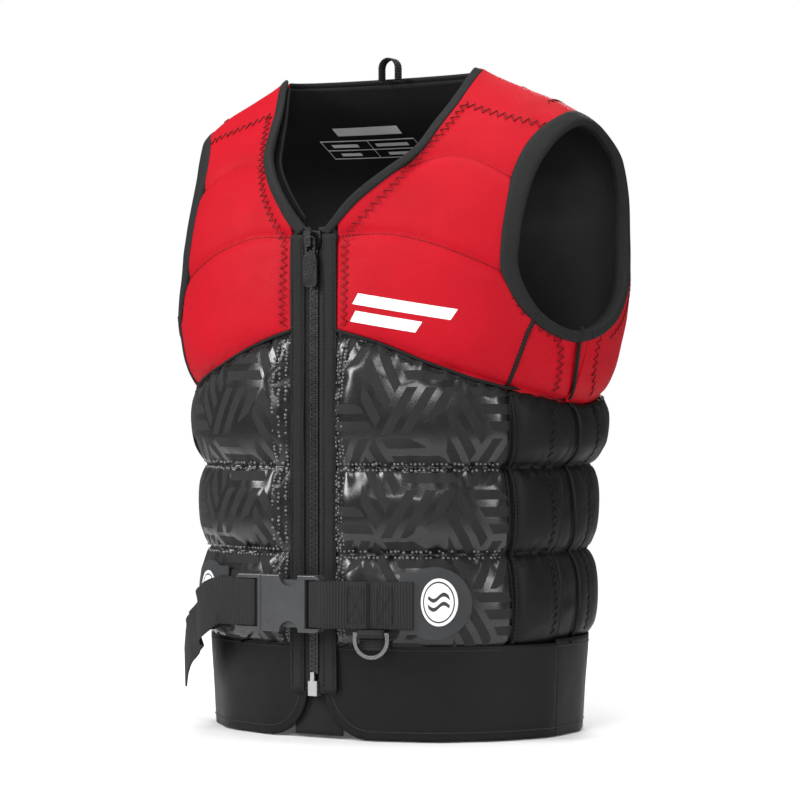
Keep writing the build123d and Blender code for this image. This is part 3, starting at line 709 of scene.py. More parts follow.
def badge_paint(name, middle_x, middle_z):
    """White moulded oval with a dark ring and two plain waves."""
    paint = Paint(name, (0.8, 0.8, 0.8), 0.35)
    split = paint.nodes.new("ShaderNodeSeparateXYZ")
    paint.links.new(paint.place.outputs["Object"], split.inputs[0])
    across = paint.math("DIVIDE", paint.math("SUBTRACT", split.outputs["X"], middle_x), 0.0125)
    up = paint.math("DIVIDE", paint.math("SUBTRACT", split.outputs["Z"], middle_z), 0.019)
    radius = paint.math("SQRT", paint.math("ADD", paint.math("MULTIPLY", across, across),
                                           paint.math("MULTIPLY", up, up)))
    ring = paint.math("LESS_THAN", paint.math("ABSOLUTE", paint.math("SUBTRACT", radius, 0.84)), 0.035)
    wave = paint.math("MULTIPLY", paint.math("SINE", paint.math("MULTIPLY", across, 5.5)), 0.13)
    bands = []
    for rise in (-0.18, 0.2):
        gap = paint.math("ABSOLUTE", paint.math("SUBTRACT", paint.math("SUBTRACT", up, wave), rise))
        bands.append(paint.math("MULTIPLY", paint.math("LESS_THAN", gap, 0.085),
                                paint.math("LESS_THAN", radius, 0.62)))
    mark = paint.math("MAXIMUM", ring, paint.math("MAXIMUM", bands[0], bands[1]))
    paint.color(paint.ramp(mark, (0.82, 0.82, 0.82), (0.03, 0.03, 0.032)))
    paint.bump(mark, -0.0003, 0.6)
    paint.bump(paint.noise(300), 0.0001, 0.3)
    return paint.material


RED = neoprene("red_knit", (0.35, 0.0006, 0.007), (0.49, 0.001, 0.012), 0.6)
BLACK = neoprene("black_knit", (0.004, 0.004, 0.0045), (0.008, 0.008, 0.0085), 0.45)
LINING = neoprene("black_lining", (0.010, 0.010, 0.011), (0.016, 0.016, 0.017), 0.8)
PRINT = embossed("black_print")
FOAM = neoprene("foam", (0.6, 0.58, 0.52), (0.72, 0.7, 0.64), 0.8)
TAPE = woven("binding_tape", (0.0042, 0.0048, 0.0045), 0.0014, 0.0003)
WEBBING = woven("webbing", (0.007, 0.007, 0.007), 0.0024, 0.0006)
# Red thread, much darker than the red fabric: painted shade that stands in for the shadow along the sewn grooves.
RED_THREAD_PAINTED_SHADE = woven("red_thread_painted_shade", (0.1, 0.0, 0.002), 0.0005, 0.0001, 0.6)
BLACK_THREAD = woven("black_thread", (0.006, 0.006, 0.006), 0.0005, 0.0001, 0.5)
GREY_THREAD = woven("grey_thread", (0.05, 0.05, 0.053), 0.0005, 0.0001, 0.5)
# Beads: the grey colour, lifted above the print's black, is a painted highlight. Their real shine comes from the
# low roughness.
GLOSS_AND_PAINTED_HIGHLIGHT = moulded("coated_beads_painted_highlight", (0.09, 0.09, 0.095), 0.16, 900)
TEETH = moulded("teeth", (0.008, 0.008, 0.009), 0.25, 900)
BLACK_METAL = moulded("black_metal", (0.014, 0.014, 0.015), 0.26, 600, 0.6)
SILVER = moulded("silver_metal", (0.42, 0.42, 0.43), 0.3, 600, 0.9)
STEEL = moulded("ring_metal", (0.22, 0.22, 0.23), 0.26, 600, 1.0)
BUCKLE = moulded("buckle_plastic", (0.03, 0.031, 0.033), 0.3, 700)
RUBBER = moulded("patch_rubber", (0.01, 0.011, 0.013), 0.6, 500)
WHITE = moulded("white_print", (0.8, 0.8, 0.8), 0.5, 500)


def on_front(obj):
    """A soft piece of one front: its transform is baked into its mesh, and it is tied to no body."""
    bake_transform(obj)


def carry(obj, part):
    """Ties a soft piece to the back; a piece of a front only has its transform baked."""
    if part == "back":
        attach(obj, "back")
    else:
        on_front(obj)


def both(build):
    """Runs a builder for the wearer's left and, mirrored, for the right."""
    for side, mirror in (("left", False), ("right", True)):
        build(side, mirror)


ARM_FRONT = domain_y(arm_part(0))
NECK_FRONT = domain_x(neck_part(0, PANEL_EDGE))
SHOULDER = shoulder_line()
ZIP_EDGE = domain_x([(PANEL_EDGE, 330), (PANEL_EDGE, NECK_FRONT[0, 1])])
CHEST = coons(SEAM_FRONT, np.vstack([PRINCESS, ARM_FRONT[PRINCESS_TOP + 1:]]), SHOULDER[::-1],
              np.vstack([even(ZIP_EDGE, 30), NECK_FRONT[1:], SHOULDER[-1:]]), 90, 130)
SEAM_SIDE = np.array([(t, seam_height(t))
                      for t in np.linspace(PRINCESS[0, 0], split_line(272, 273)[0, 0], 12)])
UNDERARM = coons(SEAM_SIDE, split_line(272, ARM_FRONT[0, 1]), ARM_FRONT[:PRINCESS_TOP + 1][::-1],
                 PRINCESS, 34, 36)
LOW_EDGE = domain_x([(x, HEM_TOP) for x in np.linspace(PANEL_EDGE, PRINCESS_X, 30)])
BELLY = coons(LOW_EDGE, domain_x([(PRINCESS_X, HEM_TOP), (PRINCESS_X, 283)]), SEAM_FRONT,
              domain_x([(PANEL_EDGE, HEM_TOP), (PANEL_EDGE, 330)]), 76, 132)
LOW_SIDE = np.array([(t, HEM_TOP) for t in np.linspace(LOW_EDGE[-1, 0], split_line(76, 77)[0, 0], 12)])
SIDE = coons(LOW_SIDE, split_line(HEM_TOP, 272), SEAM_SIDE,
             domain_x([(PRINCESS_X, HEM_TOP), (PRINCESS_X, 283)]), 30, 100)
ARM_BEHIND = domain_y(arm_part(0, front=False))
NAPE_LINE = np.array([(t, NAPE) for t in np.linspace(SHOULDER[-1, 0], BACK, 40)])
SEAM_BACK = np.array([(t, seam_height(t)) for t in np.linspace(SEAM_SIDE[-1, 0], BACK, 40)])
UPPER_BACK = coons(SEAM_BACK, np.array([(BACK, 296), (BACK, NAPE)]), np.vstack([SHOULDER, NAPE_LINE[1:]]),
                   np.vstack([split_line(272, ARM_BEHIND[0, 1]), ARM_BEHIND[1:]]), 96, 110)
LOW_BACK = np.array([(t, HEM_TOP) for t in np.linspace(LOW_SIDE[-1, 0], BACK, 40)])
LOWER_BACK = coons(LOW_BACK, np.array([(BACK, HEM_TOP), (BACK, 296)]), SEAM_BACK,
                   split_line(HEM_TOP, 272), 80, 100)

# Sewn lines of the chest and flank, as (x, height) in front or (turn in degrees, height) at the side.
ARM_ZIGZAG = domain_x(smooth([(170, 494), (162, 482), (156, 465), (156, 435), (154, 412), (154, 396),
                              (157, 376), (161, 359), (168, 341)], 240))
NECK_ZIGZAG = domain_x(smooth([(30, 334), (30, 372), (30, 404), (45, 424), (62, 446), (78, 474), (89, 497),
                               (95, 514)], 240))
SHOULDER_ZIGZAG = domain_x([(95, 514), (114, 509), (136, 503), (156, 498), (170, 494)])


def flank(points, count=120):
    """(turn, height) curve at the side from one in degrees."""
    return smooth(points, count) * np.array([math.pi / 180, 1])


PRINCESS_LOW = domain_x([(PRINCESS_X, z) for z in np.linspace(HEM_TOP, 283, 60)])
SIDE_SEAM = flank([(77, 333), (79, 305), (82, 283), (85, 268), (88, 233), (90, 190), (93, 140),
                   (93, 100), (93, 80)])
FLANK_FRONT = flank([(60, 333), (69, 321), (72.5, 300), (74.5, 281)])
FLANK_BACK = flank([(94, 342), (88, 328), (89, 300), (93, 279)])
FLANK_LOW = flank([(74, 268), (73.5, 250), (76.5, 210), (79, 177), (80, 112), (80, 84)])
FLANK_LOW_BACK = flank([(96, 266), (99, 235), (101, 190), (102, 140), (102, 84)])


def chest_relief(turn, z):
    """Chest surface with its quilting lines and seams."""
    points = place(turn, z)
    return (relief(turn, z) + grooves(points, QUILT, 3.0, 5.0)
            + grooves(points, [ARM_ZIGZAG, NECK_ZIGZAG, SHOULDER_ZIGZAG], 1.1, 4.0))


def ripple(turn, z):
    """Shallow waves of the sewn fabric, deepest beside the channels."""
    wave = np.sin(turn * 61 + 2.2 * np.sin(z / 17)) + 0.6 * np.sin(turn * 103 + z / 9)
    beside = np.minimum(np.abs(z - VALLEY_LOW), np.abs(z - VALLEY_HIGH))
    beside = np.minimum(beside, np.abs(z - seam_height(turn)))
    return 0.9 * wave * np.exp(-(beside / 9) ** 2)


def belly_relief(turn, z):
    """Belly surface: pads between sewn channels, with puckers along them, and the seams that cross them."""
    points = place(turn, z)
    return relief(turn, z) + ripple(turn, z) + grooves(points, [SIDE_SEAM, PRINCESS_LOW], 3.5, 5.0)


def underarm_relief(turn, z):
    """Red flank, drawn in along its seams."""
    points = place(turn, z)
    return (relief(turn, z) + grooves(points, [SIDE_SEAM, PRINCESS], 3.0, 5.0)
            + grooves(points, [FLANK_FRONT], 1.0, 4.0))


def hem_relief(turn, z):
    """Hem skirt, which waves a little and turns in under the lowest pads."""
    wave = 1.2 * np.sin(turn * 7 + 0.6) * (1 - z / HEM_TOP) + 0.7 * np.sin(turn * 17) * (1 - z / HEM_TOP)
    return HEM_INSET + wave * 0.8 + 1.0


def lining_relief(turn, z):
    """Lining face: behind the pads, and close under the cover at the openings."""
    points = place(turn, z)
    openings = [ARM_FRONT, ARM_BEHIND, NECK_FRONT, NAPE_LINE, SHOULDER]
    return LINING_INSET - grooves(points, openings, LINING_INSET - OPENING_INSET, 17.0)


def cloth_piece(node, part, *shape, fill=0.9, **options):
    """A panel that stands for a CAD node, carried by the back when it is a piece of the back."""
    obj = panel(f"{node}_soft", *shape, **options)
    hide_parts(node)
    carry(obj, part)


def build_front(side, mirror):
    """Cloth panels and lining of one front."""
    for name, grid, shape, paint, slot, swelling in (
            ("chest_cover", CHEST, chest_relief, RED, "red_neoprene", 0.0),
            ("underarm_panel", UNDERARM, underarm_relief, RED, "red_neoprene", 0.0),
            ("belly_cover", BELLY, belly_relief, PRINT, "printed_neoprene", 1.4),
            ("side_panel", SIDE, belly_relief, BLACK, "black_neoprene", 1.2)):
        cloth_piece(f"{name}_{side}", side, [grid], shape, SHELL, paint, slot, mirror, inflate=swelling)
    cloth_piece(f"front_lining_{side}", side, [CHEST, UNDERARM, BELLY, SIDE], lining_relief, LINING_THICK, LINING,
                "black_lining", mirror)


def pad(node, part, grid, mirror=False, weld=False):
    """Foam pad that fills the space between a cover and the lining."""
    turn, z = grid[..., 0], grid[..., 1]
    outer = relief(turn, z) + SHELL + 1.0
    inner = np.maximum(outer + 1.0, lining_relief(turn, z) - 1.5)
    layers = [place(turn, z, outer), place(turn, z, inner)]
    if weld:
        layers = [np.concatenate([layer, layer[:, -2::-1] * np.array([-1, 1, 1])], axis=1) for layer in layers]
    rows, columns = layers[0].shape[:2]
    points = np.concatenate([layer.reshape(-1, 3) for layer in layers]) * np.array([-1 if mirror else 1, 1, 1])
    size = rows * columns
    faces = grid_faces(rows, columns)
    faces += [tuple(size + k for k in reversed(face)) for face in faces]
    rim = list(range(columns)) + [r * columns + columns - 1 for r in range(1, rows)]
    rim += [(rows - 1) * columns + c for c in range(columns - 2, -1, -1)]
    rim += [r * columns for r in range(rows - 2, 0, -1)]
    faces += [(a, b, b + size, a + size) for a, b in zip(rim, rim[1:] + rim[:1])]
    obj = make_object(f"{node}_soft", points, faces, FOAM)
    face_out(obj)
    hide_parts(node)
    carry(obj, part)


def inner_grid(grid, across, up):
    """The middle of a panel's grid, with its margins left out."""
    columns, rows = grid.shape[1], grid.shape[0]
    return grid[int(up[0] * rows):int(up[1] * rows), int(across[0] * columns):int(across[1] * columns)]


def band_of(grid, low, high, first=0.06, last=0.94):
    """The part of a belly grid between two heights."""
    rows = np.nonzero((grid[:, grid.shape[1] // 2, 1] > low) & (grid[:, grid.shape[1] // 2, 1] < high))[0]
    return grid[rows[0]:rows[-1] + 1, int(first * grid.shape[1]):int(math.ceil(last * grid.shape[1]))]


def build_foam(side, mirror):
    """Foam pads of one front."""
    pad(f"chest_foam_{side}", side, inner_grid(CHEST, (0.12, 0.86), (0.05, 0.8)), mirror)
    for name, low, high in (("low", 80, 146), ("middle", 154, 216), ("high", 224, 300)):
        pad(f"belly_foam_{name}_{side}", side, band_of(BELLY, low, high), mirror)


both(build_front)
both(build_foam)

YOKE = np.array([(t, 470 - 10 * math.cos(t - BACK)) for t in np.linspace(2.0, BACK, 80)])


def back_relief(turn, z):
    """Upper back, drawn in along one curved line of quilting."""
    return relief(turn, z) + grooves(place(turn, z), [YOKE], 2.5, 5.0)


# The hem skirts, with the front corners cut away in a round.
CORNER = [(51 - 42 * math.sin(a), 42 - 42 * math.cos(a)) for a in np.linspace(math.pi / 2, 0, 24)]
HEM_FOOT = np.vstack([domain_x(CORNER),
                      [(t, 0) for t in np.linspace(turn_at_x(53, 0), split_line(0, 1)[0, 0], 40)]])
HEM = coons(HEM_FOOT, split_line(0, HEM_TOP), np.array(
    [(t, HEM_TOP + 3) for t in np.linspace(turn_at_x(9, HEM_TOP), LOW_SIDE[-1, 0], 40)]),
    domain_x([(9, 42), (9, HEM_TOP + 3)]), 110, 30)
BACK_HEM = coons(np.array([(t, 0) for t in np.linspace(HEM_FOOT[-1, 0], BACK, 40)]),
                 np.array([(BACK, 0), (BACK, HEM_TOP + 3)]),
                 np.array([(t, HEM_TOP + 3) for t in np.linspace(LOW_SIDE[-1, 0], BACK, 40)]),
                 split_line(0, HEM_TOP + 3), 90, 24)


def build_hem(side, mirror):
    """Hem skirt of one front; its stitches are made with the other threads of the front."""
    cloth_piece(f"hem_band_{side}", side, [HEM], hem_relief, HEM_THICK, BLACK, "black_neoprene", mirror, fill=0.8)


both(build_hem)

for name, grid, shape, thick, paint, slot, swelling in (
        ("back_cover_upper", UPPER_BACK, back_relief, SHELL, RED, "red_neoprene", 0.0),
        ("back_cover_lower", LOWER_BACK, belly_relief, SHELL, BLACK, "black_neoprene", 1.3),
        ("back_hem_band", BACK_HEM, hem_relief, HEM_THICK, BLACK, "black_neoprene", 0.0)):
    cloth_piece(name, "back", [grid], shape, thick, paint, slot, weld=True, inflate=swelling)
cloth_piece("back_lining", "back", [UPPER_BACK, LOWER_BACK], lining_relief, LINING_THICK, LINING, "black_lining",
            weld=True)
for name, low, high in (("low", 80, 146), ("middle", 154, 216)):
    pad(f"back_foam_{name}", "back", band_of(LOWER_BACK, low, high, 0.12, 1.0), weld=True)
pad("back_foam_upper", "back", inner_grid(UPPER_BACK, (0.16, 1.0), (0.04, 0.84)), weld=True)


# ---- bound edges ----------------------------------------------------------------------------
NECK_TAPE = (6.0, 7.0)      # width and depth of the binding round the neck
TAPE_STEP = (2.0, 1.2)      # flat distance between a binding's rings, and round one


def bound_edge(node, ring_at, mirror, wide=7.5, deep=9.0):
    """Folded tape over an edge. ring_at gives the (turn, height) curve grown by a margin."""
    section = [(wide, -0.9), (wide * 0.5, -1.3), (0.5, -1.2), (-1.1, 0.5), (-1.6, deep * 0.5), (-1.1, deep - 0.5),
               (0.5, deep + 0.6), (wide * 0.5, deep + 0.7), (wide, deep + 0.4), (wide + 0.2, deep * 0.5)]
    section = smooth(section, 22, closed=True)[:-1]
    rings = []
    for margin, inset in section:
        curve = ring_at(margin)
        rings.append(place(curve[:, 0], curve[:, 1], relief(curve[:, 0], curve[:, 1]) + inset))
    points = np.stack(rings, axis=1)
    rows, columns = points.shape[:2]
    faces = grid_faces(rows, columns, closed=True) + end_caps(rows, columns)
    if mirror:
        points = points * np.array([-1, 1, 1])
        faces = [tuple(reversed(face)) for face in faces]
    obj = make_object(f"{node}_soft", points, faces, TAPE)
    vertex = np.arange(rows * columns)
    lay_flat(obj, np.stack([vertex // columns * TAPE_STEP[0], vertex % columns * TAPE_STEP[1]], axis=-1))
    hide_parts(node)
    return obj


def arm_ring(front):
    """Armhole rim grown by a margin, as a curve of the surface."""
    base = arm_part(0, front)

    def ring(margin):
        return domain_y(grown(base, -margin if front else margin))
    return ring


def neck_ring(margin):
    """Front neck rim grown by a margin."""
    return domain_x(grown(NECK, margin))


def nape_ring(margin):
    """Rim behind the neck grown by a margin."""
    turn = np.linspace(SHOULDER[-1, 0], 2 * BACK - SHOULDER[-1, 0], 90)
    return np.stack([turn, np.full(90, NAPE - margin)], axis=-1)


def build_edges(side, mirror):
    """Bound armhole and neck edges of one side."""
    on_front(bound_edge(f"armhole_binding_front_{side}", arm_ring(True), mirror))
    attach(bound_edge(f"armhole_binding_back_{side}", arm_ring(False), mirror), "back")
    on_front(bound_edge(f"neck_binding_front_{side}", neck_ring, mirror, *NECK_TAPE))


both(build_edges)
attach(bound_edge("neck_binding_back", nape_ring, False, *NECK_TAPE), "back")


# ---- stitching ------------------------------------------------------------------------------
def build_stitches(side, mirror):
    """Thread lines of one front."""
    flip = np.array([-1 if mirror else 1, 1, 1])

    def thread(name, lines, radius, paint):
        obj = tube(f"{name}_{side}", [line * flip for line in lines], radius, paint)
        on_front(obj)

    wide = [zigzag(curve, 3.4, 3.1)
            for curve in (ARM_ZIGZAG, NECK_ZIGZAG, SHOULDER_ZIGZAG, FLANK_FRONT, FLANK_BACK)]
    thread("chest_zigzag", wide, 0.5, RED_THREAD_PAINTED_SHADE)
    quilting = [dash for curve in QUILT for dash in dashes(curve, 2.6, 1.9, -2.5)]
    thread("chest_quilting", quilting, 0.45, RED_THREAD_PAINTED_SHADE)
    seam = np.vstack([SEAM_FRONT, SEAM_SIDE[1:]])
    below = seam - np.array([0, 4.5])
    thread("cover_seam", [zigzag(below, 2.4, 1.6)], 0.4, BLACK_THREAD)
    piping = [on_surface(even(curve, 90), lift)[0]
              for curve, lift in ((seam, 1.1), (PRINCESS, 0.2), (SIDE_SEAM, 0.2))]
    thread("seam_piping", piping, 1.5, TAPE)
    rows = [dash for aside in (-1.9, 1.9) for curve in (PRINCESS, SIDE_SEAM)
            for dash in dashes(curve, 3.0, 2.0, 0.2, aside)]
    thread("piping_stitches", rows, 0.32, BLACK_THREAD)
    rise = np.linspace(HEM_TOP + 2, 280, 60)
    princess = np.stack([turn_at_x(np.full(60, PRINCESS_X + 0.5), rise), rise], axis=-1)
    thread("princess_piping", [on_surface(princess, 0.0)[0]], 1.0, TAPE)
    rows = dashes(princess, 3.2, 2.2, 0.2, 1.9) + dashes(princess, 3.2, 2.2, 0.2, -1.9)
    thread("princess_seam", rows, 0.3, BLACK_THREAD)
    thread("flank_zigzag", [zigzag(FLANK_LOW, 3.2, 2.8), zigzag(FLANK_LOW_BACK, 3.2, 2.8)], 0.5, BLACK_THREAD)
    hem = domain_x([(x, HEM_TOP - 3) for x in np.linspace(12, 150, 60)])
    turned = np.vstack([domain_x([(16, HEM_TOP - 2), (16, 44)]),
                        domain_x([(53 - 37 * math.sin(a), 44 - 37 * math.cos(a))
                                  for a in np.linspace(math.pi / 2, 0, 20)]),
                        [(t, 7) for t in np.linspace(turn_at_x(56, 7), HEM_FOOT[-1, 0], 40)]])
    lines = []
    for curve in (hem, turned):
        points, _ = on_surface(curve)
        fine = even(np.hstack([points, curve]), 420)[:, 3:]
        run = place(fine[:, 0], fine[:, 1], hem_relief(fine[:, 0], fine[:, 1]) - 0.3)
        lines += [run[k:k + 3] for k in range(0, 417, 4)]
    thread("hem_stitches", lines, 0.32, GREY_THREAD)


both(build_stitches)

ARM_ZIGZAG_BACK = domain_y(grown(arm_part(0, front=False), 17.0)[14:])
NAPE_ZIGZAG = np.array([(t, NAPE - 14) for t in np.linspace(SHOULDER[-1, 0] + 0.1, BACK, 60)])


def build_back_stitches():
    """Thread lines of the back, the same on both sides."""
    both_ways = (np.array([1, 1, 1]), np.array([-1, 1, 1]))
    red = [zigzag(curve) * flip for curve in (ARM_ZIGZAG_BACK, NAPE_ZIGZAG) for flip in both_ways]
    red += [dash * flip for flip in both_ways for dash in dashes(YOKE, 2.8, 2.0, -1.6)]
    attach(tube("back_zigzag", red, 0.4, RED_THREAD_PAINTED_SHADE), "back")
    seam = SEAM_BACK - np.array([0, 4.5])
    black = [zigzag(seam, 2.4, 1.6) * flip for flip in both_ways]
    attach(tube("back_seam", black, 0.4, BLACK_THREAD), "back")
    piping = [on_surface(even(SEAM_BACK, 120), 0.1)[0] * flip for flip in both_ways]
    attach(tube("back_piping", piping, 1.15, TAPE), "back")
    rows = []
    for height in (7, HEM_TOP - 3):
        curve = np.array([(t, height) for t in np.linspace(HEM_FOOT[-1, 0], BACK, 420)])
        run = place(curve[:, 0], curve[:, 1], hem_relief(curve[:, 0], curve[:, 1]) - 0.3)
        rows += [run[k:k + 3] * flip for k in range(0, 417, 4) for flip in both_ways]
    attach(tube("back_hem_stitches", rows, 0.32, GREY_THREAD), "back")


build_back_stitches()


def dome(center, normal, radius, points, faces):
    """Adds one low bead to a mesh being gathered."""
    along = np.cross(normal, (0.2, 0.1, 0.97))
    along /= np.linalg.norm(along)
    side = np.cross(normal, along)
    base = len(points)
    for ring, (out, lift) in enumerate(((1.0, 0.0), (0.78, 0.55), (0.3, 0.85))):
        for k in range(7):
            angle = 2 * math.pi * (k + 0.5 * ring) / 7
            spoke = math.cos(angle) * along + math.sin(angle) * side
            points.append(center + radius * (out * spoke + lift * normal))
    for ring in range(2):
        for k in range(7):
            a, b = base + 7 * ring + k, base + 7 * ring + (k + 1) % 7
            faces.append((a, b, b + 7, a + 7))
    faces.append(tuple(base + 14 + k for k in range(7)))


def build_beads(side, mirror):
    """Glossy coated beads where the print is sewn through: along the channels and beside the zip."""
    flip = np.array([-1 if mirror else 1, 1, 1])
    points, faces = [], []
    curves = []
    for line in (VALLEY_LOW, VALLEY_HIGH):
        for lift in (-2.6, 2.6):
            curves.append((domain_x([(x, line + lift) for x in np.linspace(34, 150, 60)]), 3.4))
    for x in (26, 30, 34):
        curves.append((domain_x([(x, z) for z in np.linspace(HEM_TOP + 4, 322, 80)]), 3.1))
    for curve, pitch in curves:
        on, _ = on_surface(curve)
        total = np.linalg.norm(np.diff(on, axis=0), axis=1).sum()
        fine = even(np.hstack([on, curve]), int(total / pitch))[:, 3:]
        centers, normals = on_surface(fine, 0.2)
        for center, normal in zip(centers, normals):
            if rng.random() < 0.14:
                continue
            jitter = rng.normal(0, 0.35, 3)
            dome(center + jitter, normal, rng.uniform(0.9, 1.6), points, faces)
    points = np.array(points) * flip
    if mirror:
        faces = [tuple(reversed(face)) for face in faces]
    # The beads' material paints part of their highlight into a grey colour.
    obj = make_object(f"print_beads_{side}", points, faces, GLOSS_AND_PAINTED_HIGHLIGHT)
    on_front(obj)


both(build_beads)


# ---- zip ------------------------------------------------------------------------------------
def slab(node, x, y, z, paint, rounding, wave=0.0):
    """Upright sewn strip between limits on each axis, with rounded edges and a slight wave."""
    rows, sides = 90, 8
    section = np.array([(x[0] + rounding, y[0]), (x[1] - rounding, y[0]),
                        (x[1], y[0] + rounding), (x[1], y[1] - rounding),
                        (x[1] - rounding, y[1]), (x[0] + rounding, y[1]),
                        (x[0], y[1] - rounding), (x[0], y[0] + rounding)])
    heights = np.linspace(z[0], z[1], rows)
    shift = wave * np.sin(heights / 23.0) + 0.4 * wave * np.sin(heights / 7.0)
    points = np.stack([np.broadcast_to(section[:, 0], (rows, sides)), section[None, :, 1] + shift[:, None],
                       np.broadcast_to(heights[:, None], (rows, sides))], axis=-1)
    faces = grid_faces(rows, sides, closed=True) + end_caps(rows, sides)
    obj = make_object(f"{node}_soft", points, faces, paint)
    face_out(obj)
    lay_flat(obj, points.reshape(-1, 3)[:, (0, 2)])
    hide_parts(node)
    return obj


def mirrored(limits, mirror):
    """Limits in X on the wearer's left or right."""
    return (-limits[1], -limits[0]) if mirror else limits


def build_zip(side, mirror):
    """Tape, facing strip and stitches beside the zip."""
    tape = slab(f"zip_tape_{side}", mirrored((4, 20), mirror), (ZIP_Y - 0.5, ZIP_Y + 0.5), (36, 414), WEBBING,
                0.4)
    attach(tape, f"front_{side}")
    facing = slab(f"zip_facing_{side}", mirrored((8.4, 22.2), mirror), (ZIP_Y - 3.2, ZIP_Y - 0.7), (38, 408),
                  TAPE, 0.9, wave=0.25)
    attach(facing, f"front_{side}")
    lines = []
    for x in (-10.6, -19.6) if mirror else (10.6, 19.6):
        for z in np.arange(42, 404, 3.4):
            lines.append([(x, ZIP_Y - 3.35, z), (x, ZIP_Y - 3.55, z + 1.1), (x, ZIP_Y - 3.35, z + 2.2)])
    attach(tube(f"zip_stitches_{side}", lines, 0.3, BLACK_THREAD), f"front_{side}")


both(build_zip)
guard = slab("zip_guard", (-23, 23), (ZIP_Y + 5.9, ZIP_Y + 8.4), (2, 405), LINING, 1.0, wave=0.3)
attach(guard, "front_left")


# ---- belt -----------------------------------------------------------------------------------
BUCKLE_Y = -138.5
BELT_HALF = (177.0, 145.0)
BELT_WIDE, BELT_THICK = 38.0, 1.8


def belt_line(start, end, out, steps):
    """Points along the CAD's cover at belt height, in X and Y, a distance out from it."""
    points = []
    for x in np.linspace(start, end, steps + 1):
        wide, deep = BELT_HALF[0] + out, BELT_HALF[1] + out
        points.append((x, AXIS_Y - deep * (1 - (abs(x) / wide) ** FRONT_POWER) ** (1 / FRONT_POWER), BELT_Z))
    return points


def half_turn(x, radius, way):
    """Half turn of webbing round a buckle bar, from behind it to in front of it."""
    return [(x + way * radius * math.sin(angle), BUCKLE_Y + radius * math.cos(angle), BELT_Z)
            for angle in np.linspace(0, math.pi, 9)]


def swept(node, line, section, across, out):
    """Webbing swept along a line: each section point is so far across its width and out from it."""
    points = np.stack([line + across * a + out * b for a, b in section], axis=1)
    count, columns = points.shape[:2]
    faces = grid_faces(count, columns, closed=True) + end_caps(count, columns)
    obj = make_object(f"{node}_soft", points, faces, WEBBING)
    face_out(obj)
    lay_flat(obj, np.stack([np.repeat(run_along(line), columns), np.tile([a for a, _ in section], count)], axis=-1))
    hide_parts(node)
    return obj


def webbing(node, path, count=150):
    """Belt webbing on edge along a path in millimetres, with rounded edges."""
    line = smooth(path, count)
    along = unit(np.gradient(line, axis=0))
    level = unit(along * np.array([1, 1, 0]))
    out = np.stack([level[:, 1], -level[:, 0], np.zeros(count)], axis=-1)
    up = unit(np.cross(along, -out))
    up *= np.sign(up[:, 2])[:, None]
    w, t = BELT_WIDE / 2, BELT_THICK / 2
    section = [(-w, 0), (-w + 0.35, t * 0.8), (-w + 1.1, t), (-w * 0.33, t), (w * 0.33, t), (w - 1.1, t),
               (w - 0.35, t * 0.8), (w, 0), (w - 0.35, -t * 0.8), (w - 1.1, -t), (w * 0.33, -t),
               (-w * 0.33, -t), (-w + 1.1, -t), (-w + 0.35, -t * 0.8)]
    return swept(node, line, section, up, out)


left_path = (belt_line(93, 30, 3.8, 7) + [(18, BUCKLE_Y + 3.5, BELT_Z)] + half_turn(13, 3.5, -1)
             + [(25, BUCKLE_Y - 3.2, BELT_Z)] + belt_line(40, 58, 6.0, 3))
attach(webbing("strap_left", left_path), "front_left")
right_path = (belt_line(-93, -66, 3.8, 4) + [(-59, BUCKLE_Y + 4.6, BELT_Z), (-50, BUCKLE_Y + 3.9, BELT_Z)]
              + half_turn(-44.5, 3.9, 1) + [(-60, BUCKLE_Y - 3.9, BELT_Z), (-78, BUCKLE_Y - 3.7, BELT_Z)])
tail = [(-90, BUCKLE_Y - 1.5, BELT_Z - 5), (-103, BUCKLE_Y + 6, BELT_Z - 14)]
for step, (x, y, _) in enumerate(belt_line(-120, -166, 9, 5)):
    tail.append((x, y + 0.8 * math.sin(step * 2.1), BELT_Z - 22 - 8.4 * step))
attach(webbing("strap_right", right_path + tail, 220), "buckle_plug")


def strap_stitches(name, x_from, x_to, out, body):
    """Box stitch with a cross where a strap is sewn down."""
    corners = [(x_from, -14), (x_to, -14), (x_to, 14), (x_from, 14),
               (x_from, -14), (x_to, 14), (x_to, -14), (x_from, 14)]
    run = even(np.array(corners, float), 130)
    lines = []
    for k in range(0, len(run) - 2, 2):
        pair = []
        for x, up in run[k:k + 2]:
            _, y, _ = belt_line(x, x + 0.01, out, 1)[0]
            pair.append((x, y, BELT_Z + up))
        lines.append(pair)
    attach(tube(name, lines, 0.35, BLACK_THREAD), body)


strap_stitches("strap_stitches_left", 42, 56, 7.05, "front_left")
strap_stitches("patch_stitches_left", 66, 78, 4.85, "front_left")

# The ring's loop of webbing, and the loop at the nape.
ring_x, ring_out = 60.0, 4.4
near, far = belt_line(ring_x - 11, ring_x + 11, 0, 1)
tangent = np.array(far) - np.array(near)
tangent /= np.linalg.norm(tangent)
outward = np.array([tangent[1], -tangent[0], 0])
seat = np.array(belt_line(ring_x, ring_x + 1, 0.3, 1)[0]) * np.array([1, 1, 0]) + np.array([0, 0, 87.0])


def folded_tape(node, profile, across, wide, thick):
    """Tape bent along a profile of points, wide along one direction."""
    line = smooth(profile, 60)
    along = unit(np.gradient(line, axis=0))
    w, t = wide / 2, thick / 2
    section = [(-w, 0), (-w + 0.4, t), (-w * 0.3, t), (w * 0.3, t), (w - 0.4, t), (w, 0), (w - 0.4, -t),
               (w * 0.3, -t), (-w * 0.3, -t), (-w + 0.4, -t)]
    return swept(node, line, section, across, np.cross(along, across))


